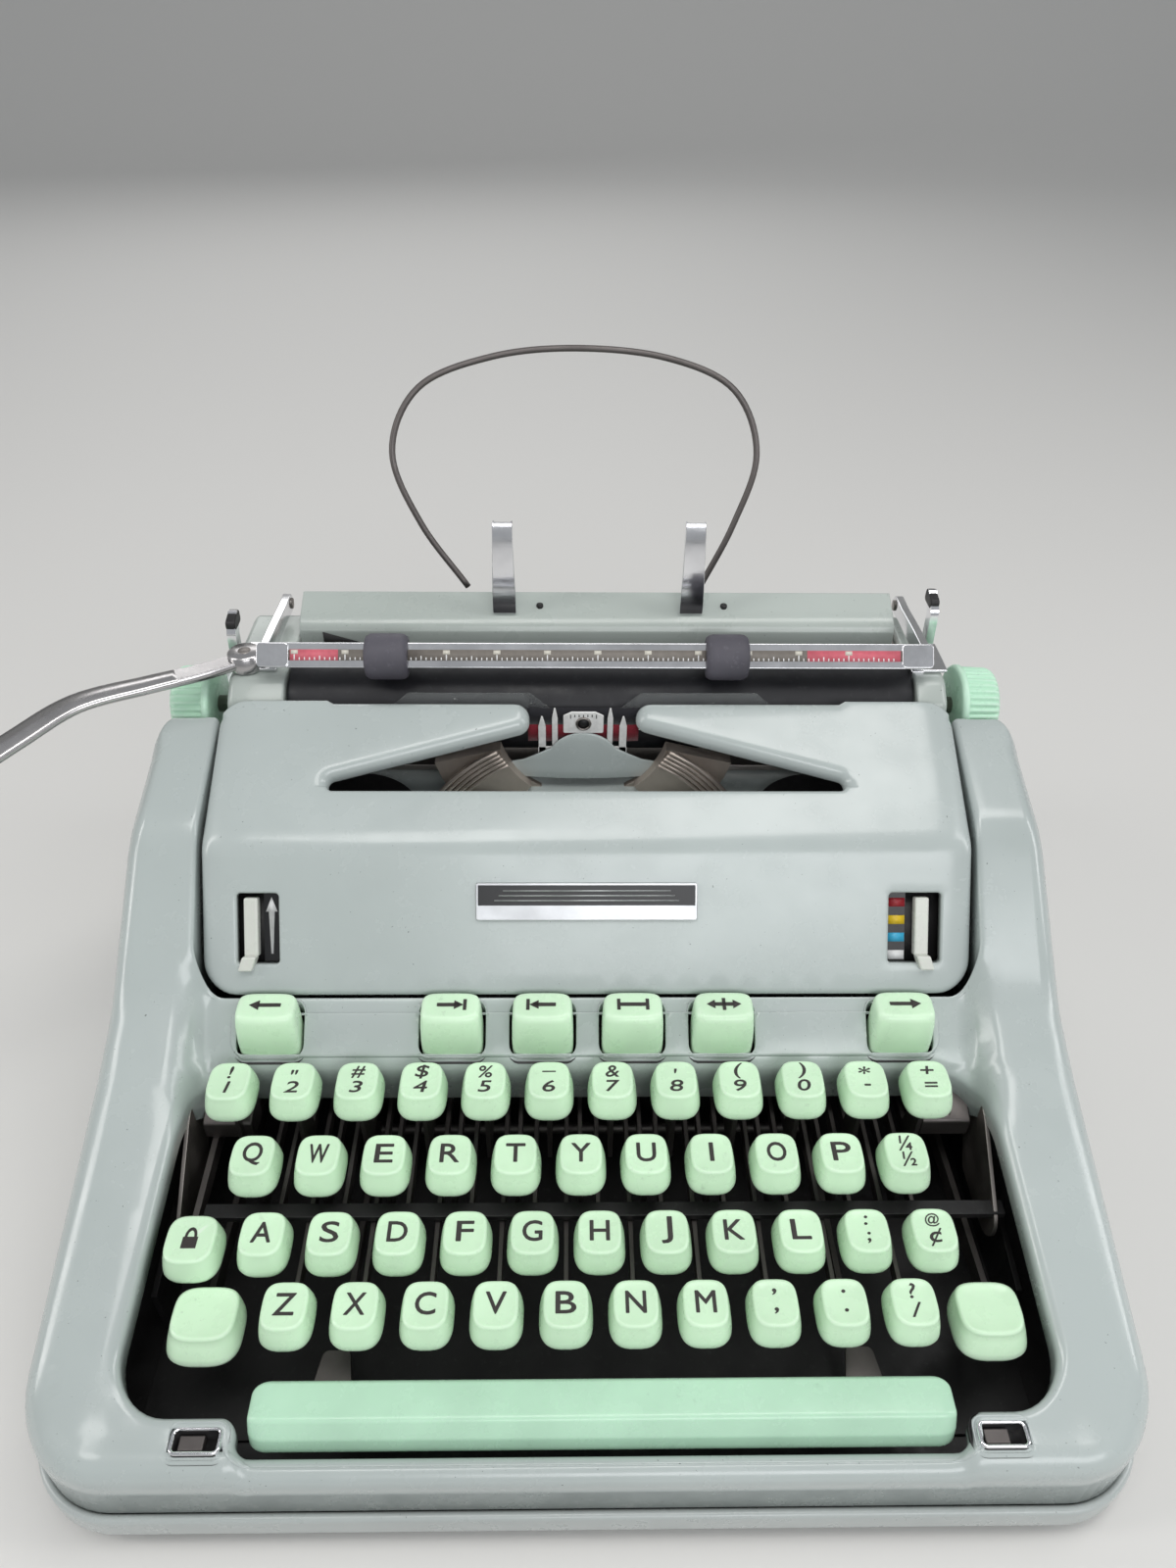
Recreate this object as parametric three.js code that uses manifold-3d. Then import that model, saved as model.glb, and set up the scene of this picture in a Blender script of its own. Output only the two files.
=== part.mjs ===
// Portable typewriter, built as separate pieces that work together.
// Millimetres, +X to the typist's right, +Y away from the typist, +Z up.
// The origin is the middle of the base tray's underside; the rubber feet reach below it.
// Inside the machine group, y is measured from the front edge of the base tray.

import * as THREE from 'three';
import { mergeVertices } from 'three/addons/utils/BufferGeometryUtils.js';
import Module from 'manifold-3d';

const wasm = await Module();
wasm.setup();

// ---- driving dimensions -------------------------------------------------------------

const gap = 0.4;                    // clearance between pieces that sit together

// base tray and feet
const baseHalfWidth = 161.5;
const baseDepth = 300;
const baseHeight = 12;
const baseCorner = 28;
const baseFloor = 2.5;
const baseWall = 2.5;
const footHeight = 4;
const footRadius = 9;
const footInset = 30;               // the feet sit in holes this far in from the rim

// housing
const housingInset = 2.5;           // the housing stands this far inside the base rim
const housingWall = 2.5;
const shoulderRadius = 10;
const sideLean = 0.09;              // how fast the sides lean in as they rise
const railFront = 37;               // height of the side rails at the front
const deckFootY = 124;              // where the deck meets the ribbon cover
const deckFootZ = 86;
const creaseY = 157;                // the line where the cover turns from front to top
const creaseZ = 124;
const coverBackY = 204.5;
const coverBackZ = 140;
const carriageFloorZ = 112;         // the housing stops here under the carriage
const carriageFrontY = 206;
const rearDeckY = 240;              // behind this line the housing is closed under the carriage

// keyboard well
const wellHalfFront = 134;
const wellHalfBack = 125;
const wellFrontY = 17.5;
const wellBackY = 111.6;
const wellCorner = 13;
const notchFrontY = 9;
const frontStripZ = 33.5;

// keys
const keyPitch = 20;
const rowDepth = 19.92;
const rowRise = 9.88;
const frontRowY = 41.6;
const frontRowZ = 44.75;
const capBase = [15.6, 16.8];
const capTop = [12.6, 13.4];
const capHeight = 9.75;
const leverThickness = 1.5;
const leverTop = 41;
const leverBottom = 36;
const keyPivotY = 196;
const keyPivotZ = 48;
const keyPivotRadius = 1.5;
const rowTieY = 160;
const rowTieStep = 8;
const rowTieZ = 24;

// key rows, front to back: number of keys and the place of the row's middle
const keyRows = [
  { name: 'key_row_bottom', count: 10, middle: 2.75 },
  { name: 'key_row_home', count: 11, middle: 2.75 },
  { name: 'key_row_upper', count: 11, middle: -2.75 },
  { name: 'key_row_number', count: 12, middle: -2.75 },
];
const exampleRow = 1;
const exampleKey = 5;

// shift keys, shift lock and space bar
const bottomRowEnds = [2.75 - 4.5 * keyPitch, 2.75 + 4.5 * keyPitch];
const homeRowLeft = 2.75 - 5 * keyPitch;
const shiftKeyX = [bottomRowEnds[0] - 24.35, bottomRowEnds[1] + 23.65];
const shiftKeyY = 43.1;
const shiftKeyTop = 44;
const shiftPivotY = 146;
const shiftPivotZ = 24;
const lockKeyX = homeRowLeft - 20.65;
const lockKeyY = 60;
const lockKeyTop = 54.6;
const lockPivotY = 108;
const lockPivotZ = 44;
const spaceBarX = [-95, 101.5];
const spaceBarTop = 38;
const spaceBarBottom = 27;
const spaceBarBaseY = [11.2, 27.4];
const spaceBarTopY = [15.8, 26.6];
const spaceArmX = [-75, 80];
const spacePivotY = 125;
const spacePivotZ = 14;

// function keys in the deck
const functionKeys = [
  { name: 'function_key_backspace', x: -103.5 },
  { name: 'function_key_tab_set', x: -44.5 },
  { name: 'function_key_tab_clear', x: -15 },
  { name: 'function_key_clear_all', x: 14.2 },
  { name: 'function_key_margin_release', x: 43.5 },
  { name: 'function_key_tabulator', x: 102 },
];
const functionKeyWidth = 20;
const functionKeyTop = 86;
const functionKeyFoot = 58;
const functionKeyY = [114.8, 126.2];

// ribbon cover
const coverFootY = 127.5;
const coverFootZ = 83;
const coverCreaseZ = 126;
const coverRearZ = 147.8;
const coverHalfWidth = 126.6;
const coverWall = 2;
const coverFaceTop = [150, 115.5];   // where the flat front face starts to round over
const cheekX = 127.8;
const cheekWall = 2;
const openingFrontY = 173.6;
const openingHalf = 86;
const windowY = [133.6, 146.8];
const leftWindow = [-114.3, -100.7];
const rightWindow = [98.2, 115.5];

// platen and printing point
const platenFrontY = 206.7;          // the platen's front stays here behind the ribbon
const platenFootZ = 117.4;
const platenRadius = 16;
const platenY = platenFrontY + platenRadius;
const platenZ = platenFootZ + platenRadius;
const platenTop = platenZ + platenRadius;
const tableY = platenY + platenRadius + 1.7;   // front face of the paper table
const platenX = [-105.4, 115.4];
const platenShaft = 3;
const knobInner = 133.4;
const knobOuter = 147.7;
const knobRadius = 15;
const printZ = 138;
const printX = -1.5;

// segment and type bars
const segmentRadius = 45;
const segmentInner = 30;
const segmentOuter = 54;
const segmentY = [198.2, 203.2];
const typebarPivotY = 196.5;
const typebarLength = 39;
const typebarStep = 3.2;
const typebarFirst = 7;
const typebarCount = 10;

// ribbon spools
const spoolY = 180;
const spoolRadius = 24;
const woundRadius = 19;

// carriage
const carriagePlateZ = [112.6, 115];
const carriagePlateY = [210, tableY + 21.6];
const endLeft = [-126, -106];
const endRight = [116, 127];
const bailRod = 2.4;
const bailRollerRadius = 8;
const bailY = platenY - 6.2;
const bailZ = platenTop + bailRollerRadius;
const bailRollerWidth = 15;
const bailRollerX = [-69.6, 48.4];
const bailPivotY = tableY + 15.6;
const bailPivotZ = platenTop + 6.6;
const bailArmX = [-112, 118];
const marginRailY = tableY + 11.6;
const marginRailZ = 138;
const marginRailRadius = 2;
const marginStopX = [-60, 70];

// ---- colours -------------------------------------------------------------------------

const paint = (color, roughness, metalness) => (
  new THREE.MeshStandardMaterial({ color, roughness, metalness })
);
const enamel = paint('#b5bcb9', 0.35, 0);
const mint = paint('#c6e9c4', 0.4, 0);
const blackMetal = paint('#1b1b1c', 0.6, 0.3);
const steel = paint('#8d8a86', 0.4, 0.9);
const chrome = paint('#d4d6d8', 0.12, 1);
const blackRubber = paint('#17171a', 0.7, 0);
const greyRubber = paint('#56555c', 0.7, 0);
const clearPlastic = paint('#d9dede', 0.1, 0);
const ribbonCloth = paint('#3a1418', 0.9, 0);

// ---- shape helpers -------------------------------------------------------------------

function box(x, y, z) {
  const size = [x[1] - x[0], y[1] - y[0], z[1] - z[0]];
  const geometry = new THREE.BoxGeometry(...size);
  geometry.translate((x[0] + x[1]) / 2, (y[0] + y[1]) / 2, (z[0] + z[1]) / 2);
  return geometry;
}

function outline(points) {
  return new THREE.Shape(points.map(([a, b]) => new THREE.Vector2(a, b)));
}

function extrude(points, from, to) {
  const geometry = new THREE.ExtrudeGeometry(outline(points), { depth: to - from, bevelEnabled: false });
  geometry.translate(0, 0, from);
  return geometry;
}

// points are (x, y), raised along z
const prismZ = (points, z) => extrude(points, z[0], z[1]);

// points are (y, z), run along x
function prismX(points, x) {
  const geometry = extrude(points, x[0], x[1]);
  geometry.applyMatrix4(new THREE.Matrix4().makeBasis(
    new THREE.Vector3(0, 1, 0), new THREE.Vector3(0, 0, 1), new THREE.Vector3(1, 0, 0)));
  return geometry;
}

// points are (x, z), run along y
function prismY(points, y) {
  const geometry = extrude(points, -y[1], -y[0]);
  geometry.rotateX(Math.PI / 2);
  return geometry;
}

function rodX(x, y, z, radius, sides = 24) {
  const geometry = new THREE.CylinderGeometry(radius, radius, x[1] - x[0], sides);
  geometry.rotateZ(-Math.PI / 2);
  geometry.translate((x[0] + x[1]) / 2, y, z);
  return geometry;
}

function rodY(x, y, z, radius, sides = 24) {
  const geometry = new THREE.CylinderGeometry(radius, radius, y[1] - y[0], sides);
  geometry.translate(x, (y[0] + y[1]) / 2, z);
  return geometry;
}

function rodZ(x, y, z, radius, sides = 24) {
  const geometry = new THREE.CylinderGeometry(radius, radius, z[1] - z[0], sides);
  geometry.rotateX(Math.PI / 2);
  geometry.translate(x, y, (z[0] + z[1]) / 2);
  return geometry;
}

// corner points of a rounded rectangle, counter-clockwise, with `steps` steps on each corner
function roundedRectangle(x, y, radius, steps = 4) {
  const corners = [
    [x[1] - radius, y[0] + radius, -90],
    [x[1] - radius, y[1] - radius, 0],
    [x[0] + radius, y[1] - radius, 90],
    [x[0] + radius, y[0] + radius, 180],
  ];
  return corners.flatMap(([cx, cy, start]) => Array.from({ length: steps + 1 }, (_, i) => {
    const angle = THREE.MathUtils.degToRad(start + 90 * i / steps);
    return [cx + radius * Math.cos(angle), cy + radius * Math.sin(angle)];
  }));
}

// a closed solid through rings of equally many points; each ring is convex
function loft(rings) {
  const count = rings[0].length;
  const vertices = rings.flat();
  const faces = [];
  for (let ring = 0; ring + 1 < rings.length; ring += 1) {
    for (let i = 0; i < count; i += 1) {
      const a = ring * count + i;
      const b = ring * count + (i + 1) % count;
      faces.push(a, b, b + count, a, b + count, a + count);
    }
  }
  const last = (rings.length - 1) * count;
  for (let i = 1; i + 1 < count; i += 1) {
    faces.push(0, i + 1, i);
    faces.push(last, last + i, last + i + 1);
  }
  const geometry = new THREE.BufferGeometry();
  geometry.setAttribute('position', new THREE.Float32BufferAttribute(vertices.flat(), 3));
  geometry.setIndex(faces);
  return geometry;
}

// a round wire along a smooth curve through points
function wire(points, radius, steps, sides = 8) {
  const curve = new THREE.CatmullRomCurve3(points.map((point) => new THREE.Vector3(...point)));
  const section = Array.from({ length: sides }, (_, i) => {
    const angle = 2 * Math.PI * i / sides;
    return [radius * Math.cos(angle), radius * Math.sin(angle)];
  });
  return new THREE.ExtrudeGeometry(outline(section), { steps, extrudePath: curve, bevelEnabled: false });
}

function solidOf(geometry) {
  const plain = geometry.clone();
  plain.deleteAttribute('normal');
  plain.deleteAttribute('uv');
  const merged = mergeVertices(plain, 1e-4);
  const mesh = new wasm.Mesh({
    numProp: 3,
    vertProperties: new Float32Array(merged.attributes.position.array),
    triVerts: new Uint32Array(merged.index.array),
  });
  return new wasm.Manifold(mesh);
}

function geometryOf(solid) {
  const mesh = solid.getMesh();
  const geometry = new THREE.BufferGeometry();
  geometry.setAttribute('position', new THREE.BufferAttribute(new Float32Array(mesh.vertProperties), 3));
  geometry.setIndex(new THREE.BufferAttribute(new Uint32Array(mesh.triVerts), 1));
  return geometry;
}

function join(...pieces) {
  return geometryOf(pieces.map(solidOf).reduce((sum, piece) => sum.add(piece)));
}

function cut(body, ...tools) {
  return geometryOf(tools.map(solidOf).reduce((rest, tool) => rest.subtract(tool), solidOf(body)));
}

const grow = (range, amount) => [range[0] - amount, range[1] + amount];
const around = (middle, width) => [middle - width / 2, middle + width / 2];
const lerp = (a, b, t) => a + (b - a) * t;

// ---- the machine ---------------------------------------------------------------------

const machine = new THREE.Group();
machine.position.set(0, -baseDepth / 2, 0);

function add(name, geometry, material) {
  const mesh = new THREE.Mesh(geometry, material);
  mesh.name = name;
  machine.add(mesh);
}

// ---- base tray and feet --------------------------------------------------------------

function buildBase() {
  const rim = roundedRectangle([-baseHalfWidth, baseHalfWidth], [0, baseDepth], baseCorner, 6);
  const pocket = roundedRectangle(
    grow([-baseHalfWidth, baseHalfWidth], -baseWall),
    grow([0, baseDepth], -baseWall), baseCorner - baseWall, 6);
  const footX = baseHalfWidth - footInset;
  const backFootY = baseDepth - footInset;
  const feet = { front_left: [-footX, footInset], front_right: [footX, footInset],
    back_left: [-footX, backFootY], back_right: [footX, backFootY] };
  const holes = Object.values(feet).map(([x, y]) => rodZ(x, y, [-1, baseFloor + 1], footRadius + gap));
  const tray = cut(prismZ(rim, [0, baseHeight]), prismZ(pocket, [baseFloor, baseHeight + 1]), ...holes);
  add('base_tray', tray, enamel);
  for (const [place, [x, y]] of Object.entries(feet)) {
    add(`rubber_foot_${place}`, rodZ(x, y, [-footHeight, baseFloor], footRadius), blackRubber);
  }
}

// ---- housing -------------------------------------------------------------------------

const housingHalf = baseHalfWidth - housingInset;
const housingY = [housingInset, baseDepth - housingInset];
const wellRailBackZ = 76;

// height of the top of the side rails and shoulders at y
function shoulderZ(y) {
  const line = [
    [housingY[0], railFront - 7], [16, railFront], [wellBackY - 6, wellRailBackZ],
    [deckFootY, deckFootZ], [creaseY - 3, creaseZ - 8], [creaseY + 7, creaseZ + 2],
    [coverBackY, coverBackZ], [baseDepth, coverBackZ],
  ];
  const next = line.findIndex(([at]) => at >= y);
  if (next <= 0) return line[0][1];
  const [y0, z0] = line[next - 1];
  const [y1, z1] = line[next];
  return lerp(z0, z1, (y - y0) / (y1 - y0));
}

// half width of the housing at y, following the rounded corners of the base
function plateauHalf(y, half, ends, radius) {
  const inFromEnd = Math.min(y - ends[0], ends[1] - y);
  if (inFromEnd >= radius) return half;
  const across = Math.sqrt(Math.max(radius ** 2 - (radius - inFromEnd) ** 2, 0));
  return half - radius + across;
}

function housingRing(y, inset, bottom) {
  const corner = baseCorner - housingInset;
  const ends = [housingY[0] - 0.6, housingY[1] + 0.6];
  const half = plateauHalf(y, housingHalf, ends, corner) - inset;
  const top = shoulderZ(y) - inset;
  const radius = shoulderRadius - inset;
  const topHalf = half - sideLean * Math.max(top - railFront, 0);
  const right = [[half, bottom], [half, Math.min(railFront, top) - radius]];
  for (const degrees of [0, 30, 60, 90]) {
    const angle = THREE.MathUtils.degToRad(degrees);
    right.push([topHalf - radius + radius * Math.cos(angle), top - radius + radius * Math.sin(angle)]);
  }
  const left = right.map(([x, z]) => [-x, z]).reverse();
  return [...right, ...left].map(([x, z]) => [x, y, z]);
}

function housingSolid(inset, bottom) {
  const stations = [0, 3, 8, 15, 28, 54, 80, 103, 121, 137,
    151.5, 157, 161.5, 172, 202, 240, 269.5, 282, 290, 295];
  const scale = (housingY[1] - housingY[0] - 2 * inset) / 295;
  return loft(stations.map((s) => housingRing(housingY[0] + inset + s * scale, inset, bottom)).reverse());
}

function wellOutline(inset) {
  return [
    [-(wellHalfFront - inset) + wellCorner, wellFrontY], [wellHalfFront - inset - wellCorner, wellFrontY],
    [wellHalfFront - inset - 4, wellFrontY + 4], [wellHalfFront - inset, wellFrontY + wellCorner],
    [wellHalfBack - inset + 0.5, wellBackY - wellCorner], [wellHalfBack - inset - 4, wellBackY - 4],
    [wellHalfBack - inset - wellCorner, wellBackY], [-(wellHalfBack - inset) + wellCorner, wellBackY],
    [-(wellHalfBack - inset) + 4, wellBackY - 4], [-(wellHalfBack - inset) - 0.5, wellBackY - wellCorner],
    [-(wellHalfFront - inset), wellFrontY + wellCorner], [-(wellHalfFront - inset) + 4, wellFrontY + 4],
  ];
}

// the sheet between the keyboard well and the ribbon cover, with the slots of the function keys
function deckSheet() {
  const sheet = prismX([
    [wellBackY, 50], [wellBackY + housingWall, 50], [wellBackY + housingWall, 62.5], [115.8, 66.6],
    [coverFootY + 0.2, coverFootZ - 4], [coverFootY - 1.8, coverFootZ - 2],
    [wellBackY + 2, 68], [wellBackY, 63],
  ], [-cheekX - 1, cheekX + 1]);
  const slots = functionKeys.map(({ x }) => box(
    around(x, functionKeyWidth + 2 * gap), grow(functionKeyY, gap), [40, 120]));
  return cut(sheet, ...slots);
}

// upright inner wall beside the ribbon cover
function cheek(side) {
  const ys = [wellBackY, deckFootY, creaseY - 3, creaseY + 7, coverBackY];
  const top = ys.map((y) => [y, shoulderZ(y) - 1]).reverse();
  const x = side > 0 ? [cheekX, cheekX + cheekWall] : [-cheekX - cheekWall, -cheekX];
  return prismX([[wellBackY, 50], [coverBackY, 50], ...top], x);
}

const latchX = [-107.4, 112.6];
const latchY = [7.7, 15];
const latchWidth = 14;

function buildHousing() {
  const bottom = baseHeight + gap;
  const bulkheadY = [carriageFrontY - housingWall, carriageFrontY];
  const bulkhead = box([-200, 200], bulkheadY, [carriageFloorZ - housingWall, 200]);
  const rearDeck = box([-200, 200], [rearDeckY, baseDepth], [carriageFloorZ - housingWall, 200]);
  const hollow = cut(housingSolid(housingWall, -5), bulkhead, rearDeck);
  const notchX = grow([spaceBarX[0], spaceBarX[1]], 2.5);
  const cuts = [
    hollow,
    prismZ(wellOutline(0), [15, 200]),
    box(notchX, [notchFrontY, wellFrontY + 3], [15, 200]),
    box(notchX, [-5, notchFrontY], [frontStripZ, 200]),
    box([-cheekX, cheekX], [wellBackY - 8, carriageFrontY + 4], [45, 200]),
    box([-200, 200], [carriageFrontY, baseDepth + 5], [carriageFloorZ, 200]),
    ...latchX.map((x) => box(around(x, latchWidth + 2 * gap), grow(latchY, gap), [20, 60])),
  ];
  const shell = cut(housingSolid(0, bottom), ...cuts);
  const strip = box(grow(notchX, 1), [housingY[0] + 1.5, notchFrontY], [frontStripZ - 2.5, frontStripZ]);
  add('main_housing', join(shell, strip, deckSheet(), cheek(-1), cheek(1)), enamel);
  latchX.forEach((x, i) => {
    const frame = cut(box(around(x, latchWidth), latchY, [26, railFront + 1.2]),
      box(around(x, latchWidth - 2.8), grow(latchY, -1.4), [28, railFront + 5]));
    add(`lid_latch_${i ? 'right' : 'left'}`, frame, chrome);
  });
}

// ---- chassis -------------------------------------------------------------------------

const chassisX = 134;
const chassisWall = 2;

function buildChassis() {
  const side = [[58, 3], [266, 3], [266, 102], [205, 102], [190, 60], [120, 34], [58, 24]];
  const chassis = join(
    prismX(side, [-chassisX - chassisWall, -chassisX]),
    prismX(side, [chassisX, chassisX + chassisWall]),
    box([-chassisX - 1, chassisX + 1], [24, 266], [3, 4.5]),
    box([-chassisX - 1, chassisX + 1], [264, 266], [4, 100]),
  );
  add('chassis', chassis, blackMetal);
  const inner = [-chassisX + gap, chassisX - gap];
  add('key_pivot_rod', rodX(inner, keyPivotY, keyPivotZ, keyPivotRadius, 12), steel);
  add('keyboard_crossbar', box([lockKeyX - 1.6, 130], [72.2, 77], [42, 44.5]), steel);
  add('carriage_rail', box([-146, 146], [226, 236], [103, carriageFloorZ - 0.2]), steel);
  add('mainspring_drum', rodY(-85, [268, 280], 72, 20), steel);
}

// ---- keys ----------------------------------------------------------------------------

// a moulded cap: a wide foot, rounded shoulders and a smaller top face
function keyCap(x, y, top, base, face, height, back = 0.4) {
  const ring = (size, z, radius, shift) => (
    roundedRectangle(around(x, size[0]), around(y + shift, size[1]), radius, 2).map(([px, py]) => [px, py, z])
  );
  return loft([
    ring([base[0] - 1, base[1] - 1], top - height, 3.5, -back),
    ring(base, top - height + 2, 4, -back),
    ring([face[0] + 1.6, face[1] + 1.6], top - 1.6, 4, 0),
    ring([face[0] - 1.6, face[1] - 1.6], top, 3, 0),
  ]);
}

const rowY = (row) => frontRowY + row * rowDepth;
const rowZ = (row) => frontRowZ + row * rowRise;
const keyX = (row, index) => keyRows[row].middle + (index - (keyRows[row].count - 1) / 2) * keyPitch;

// a flat lever from under a cap back to the common pivot, with a drop to the row's tie bar
function keyLever(x, row, tie) {
  const y = rowY(row);
  const foot = rowZ(row) - capHeight + 1;
  const back = keyPivotY - keyPivotRadius - gap;
  const low = Math.min(leverBottom, foot - 5);
  const high = Math.min(leverTop, foot);
  const underside = tie
    ? [[tie + 2.5, leverBottom], [tie + 2.5, rowTieZ], [tie - 2.5, rowTieZ], [tie - 2.5, leverBottom]]
    : [];
  const profile = [
    [y - 3, foot], [y - 3, low], [y + 4, low], [y + 10, leverBottom], ...underside.reverse(),
    [back - 8, leverBottom], [back, keyPivotZ - 3], [back, keyPivotZ + 3], [back - 3, keyPivotZ + 3],
    [back - 12, leverTop], [y + 8, high], [y + 3, foot],
  ];
  return prismX(profile, around(x, leverThickness));
}

function buildKeyRows() {
  keyRows.forEach(({ name, count }, row) => {
    const tie = rowTieY + rowTieStep * (3 - row);
    const pieces = [];
    const places = [];
    for (let index = 0; index < count; index += 1) {
      if (row === exampleRow && index === exampleKey) continue;
      const x = keyX(row, index);
      places.push(x);
      pieces.push(keyCap(x, rowY(row), rowZ(row), capBase, capTop, capHeight));
      pieces.push(keyLever(x, row, tie));
    }
    const ends = [Math.min(...places) - 2, Math.max(...places) + 2];
    pieces.push(box(ends, around(tie, 4), [rowTieZ - 2, rowTieZ + 2]));
    add(name, join(...pieces), mint);
  });
  const x = keyX(exampleRow, exampleKey);
  const cap = keyCap(x, rowY(exampleRow), rowZ(exampleRow), capBase, capTop, capHeight);
  add('key_h', join(cap, keyLever(x, exampleRow, 0)), mint);
}

function buildShiftKeys() {
  const armX = [shiftKeyX[0] - 3.4, shiftKeyX[1] + 5.2];
  const foot = shiftKeyTop - 9;
  const arm = [
    [shiftKeyY - 4, foot + 0.5], [shiftKeyY - 4, 25], [shiftPivotY + 3, shiftPivotZ - 3],
    [shiftPivotY + 3, shiftPivotZ + 3], [shiftKeyY + 14, 32], [shiftKeyY + 4, foot + 0.5],
  ];
  const pieces = shiftKeyX.map((x) => keyCap(x, shiftKeyY, shiftKeyTop, [23, 19], [18.4, 13], 9, 2.1));
  armX.forEach((x) => pieces.push(prismX(arm, around(x, 2))));
  pieces.push(rodX([armX[0], armX[1]], shiftPivotY, shiftPivotZ, 2.6, 12));
  add('shift_keys', join(...pieces), mint);
  const lockFoot = lockKeyTop - capHeight + 1;
  const lockLever = [
    [lockKeyY - 3, lockFoot], [lockKeyY - 3, 38], [lockPivotY + 3, lockPivotZ - 4],
    [lockPivotY + 3, lockPivotZ + 2], [lockKeyY + 6, lockFoot - 2], [lockKeyY + 4, lockFoot],
  ];
  const lockCap = keyCap(lockKeyX, lockKeyY, lockKeyTop, [17.2, 17], capTop, capHeight);
  add('shift_lock_key', join(lockCap, prismX(lockLever, around(lockKeyX - 4, 2))), mint);
}

function buildSpaceBar() {
  const profile = [
    [spaceBarBaseY[0], spaceBarBottom], [spaceBarBaseY[1], spaceBarBottom],
    [spaceBarBaseY[1], spaceBarTop - 4],
    [spaceBarTopY[1], spaceBarTop], [spaceBarTopY[0] + 1, spaceBarTop],
    [spaceBarTopY[0] - 0.6, spaceBarTop - 1.6],
  ];
  const middleY = (spaceBarBaseY[0] + spaceBarBaseY[1]) / 2;
  const arm = [
    [middleY - 3, spaceBarBottom + 1], [middleY - 3, spacePivotZ + 3], [spacePivotY + 2, spacePivotZ - 2],
    [spacePivotY + 2, spacePivotZ + 2], [middleY + 9, spacePivotZ + 8], [middleY + 3, spaceBarBottom + 1],
  ];
  const pieces = [prismX(profile, spaceBarX)];
  spaceArmX.forEach((x) => pieces.push(prismX(arm, around(x, 2))));
  pieces.push(rodX(spaceArmX, spacePivotY, spacePivotZ, 2, 12));
  add('space_bar', join(...pieces), mint);
}

function buildFunctionKeys() {
  const [front, back] = functionKeyY;
  const profile = [
    [front, functionKeyFoot], [back, functionKeyFoot], [back, functionKeyTop - 1],
    [back - 1, functionKeyTop], [front + 4.4, functionKeyTop - 0.6],
    [front + 3, functionKeyTop - 2], [front, 68],
  ];
  functionKeys.forEach(({ name, x }) => add(name, prismX(profile, around(x, functionKeyWidth)), mint));
}

// ---- ribbon cover --------------------------------------------------------------------

function buildRibbonCover() {
  const crease = [[creaseY + 0.5, coverCreaseZ - 1.4], [creaseY + 5, coverCreaseZ + 1]];
  const arc = [coverFaceTop, [153.5, 121], ...crease];
  const outer = [[coverFootY, coverFootZ], ...arc, [coverBackY, coverRearZ]];
  const inner = outer.map(([y, z], i) => (
    i === 0 ? [y + coverWall * 1.2, z] : i === outer.length - 1 ? [y, z - coverWall * 1.1]
      : [y + coverWall * 0.7, z - coverWall * 0.7]
  ));
  const skirt = outer.map(([y, z], i) => (
    [y + (i < 3 ? 9 : 2) * (i < outer.length - 1), z - (i < 3 ? 1 : 10)]
  ));
  const sheet = prismX([...outer].reverse().concat(inner), [-coverHalfWidth, coverHalfWidth]);
  const flange = (x) => prismX([...outer].reverse().concat(skirt), x);
  const opening = prismZ([
    [-openingHalf, openingFrontY], [openingHalf - 1, openingFrontY], [openingHalf, openingFrontY + 4],
    [22, 193], [17, 197], [17, 201], [20.5, 210], [-24, 210], [-20.5, 201], [-20.5, 197], [-26, 193],
    [-openingHalf - 2, openingFrontY + 4],
  ], [100, 200]);
  const windows = [leftWindow, rightWindow].map((x) => box(x, windowY, [80, 130]));
  const cover = cut(join(sheet,
    flange([-coverHalfWidth, -coverHalfWidth + coverWall]),
    flange([coverHalfWidth - coverWall, coverHalfWidth])), opening, ...windows);
  add('ribbon_cover', cover, enamel);

  const slope = Math.atan2(coverFaceTop[1] - coverFootZ, coverFaceTop[0] - coverFootY);
  const onFace = (geometry, along, x) => {
    geometry.rotateX(slope);
    geometry.translate(x, coverFootY + along * Math.cos(slope), coverFootZ + along * Math.sin(slope));
    return geometry;
  };
  add('name_plate', onFace(box([-36, 36], [26, 38], [gap, gap + 0.9]), 0, -0.7), chrome);
  const tip = () => join(box([-2, 2], [-4, 4], [-14, 3]), box([-2, 4.4], [-4, 0], [1, 5.5]));
  add('touch_lever', onFace(tip(), 16.5, -108.6), enamel);
  add('ribbon_colour_lever', onFace(tip(), 16.5, 108.4), enamel);
}

// ---- segment, type bars and printing point --------------------------------------------

function sector(inner, outer, from, to, steps) {
  const at = (radius, degrees) => {
    const angle = THREE.MathUtils.degToRad(degrees);
    return [printX + radius * Math.cos(angle), printZ + radius * Math.sin(angle)];
  };
  const sweep = (radius) => (
    Array.from({ length: steps + 1 }, (_, i) => at(radius, lerp(from, to, i / steps)))
  );
  return [...sweep(outer), ...sweep(inner).reverse()];
}

function typebar() {
  const bar = box([-0.7, 0.7], [-typebarLength, 2], [-1.5, 1.5]);
  const slug = box([-1.1, 1.1], [-typebarLength - 3, -typebarLength + 1], [-2, 2.4]);
  return join(bar, slug);
}

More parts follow.
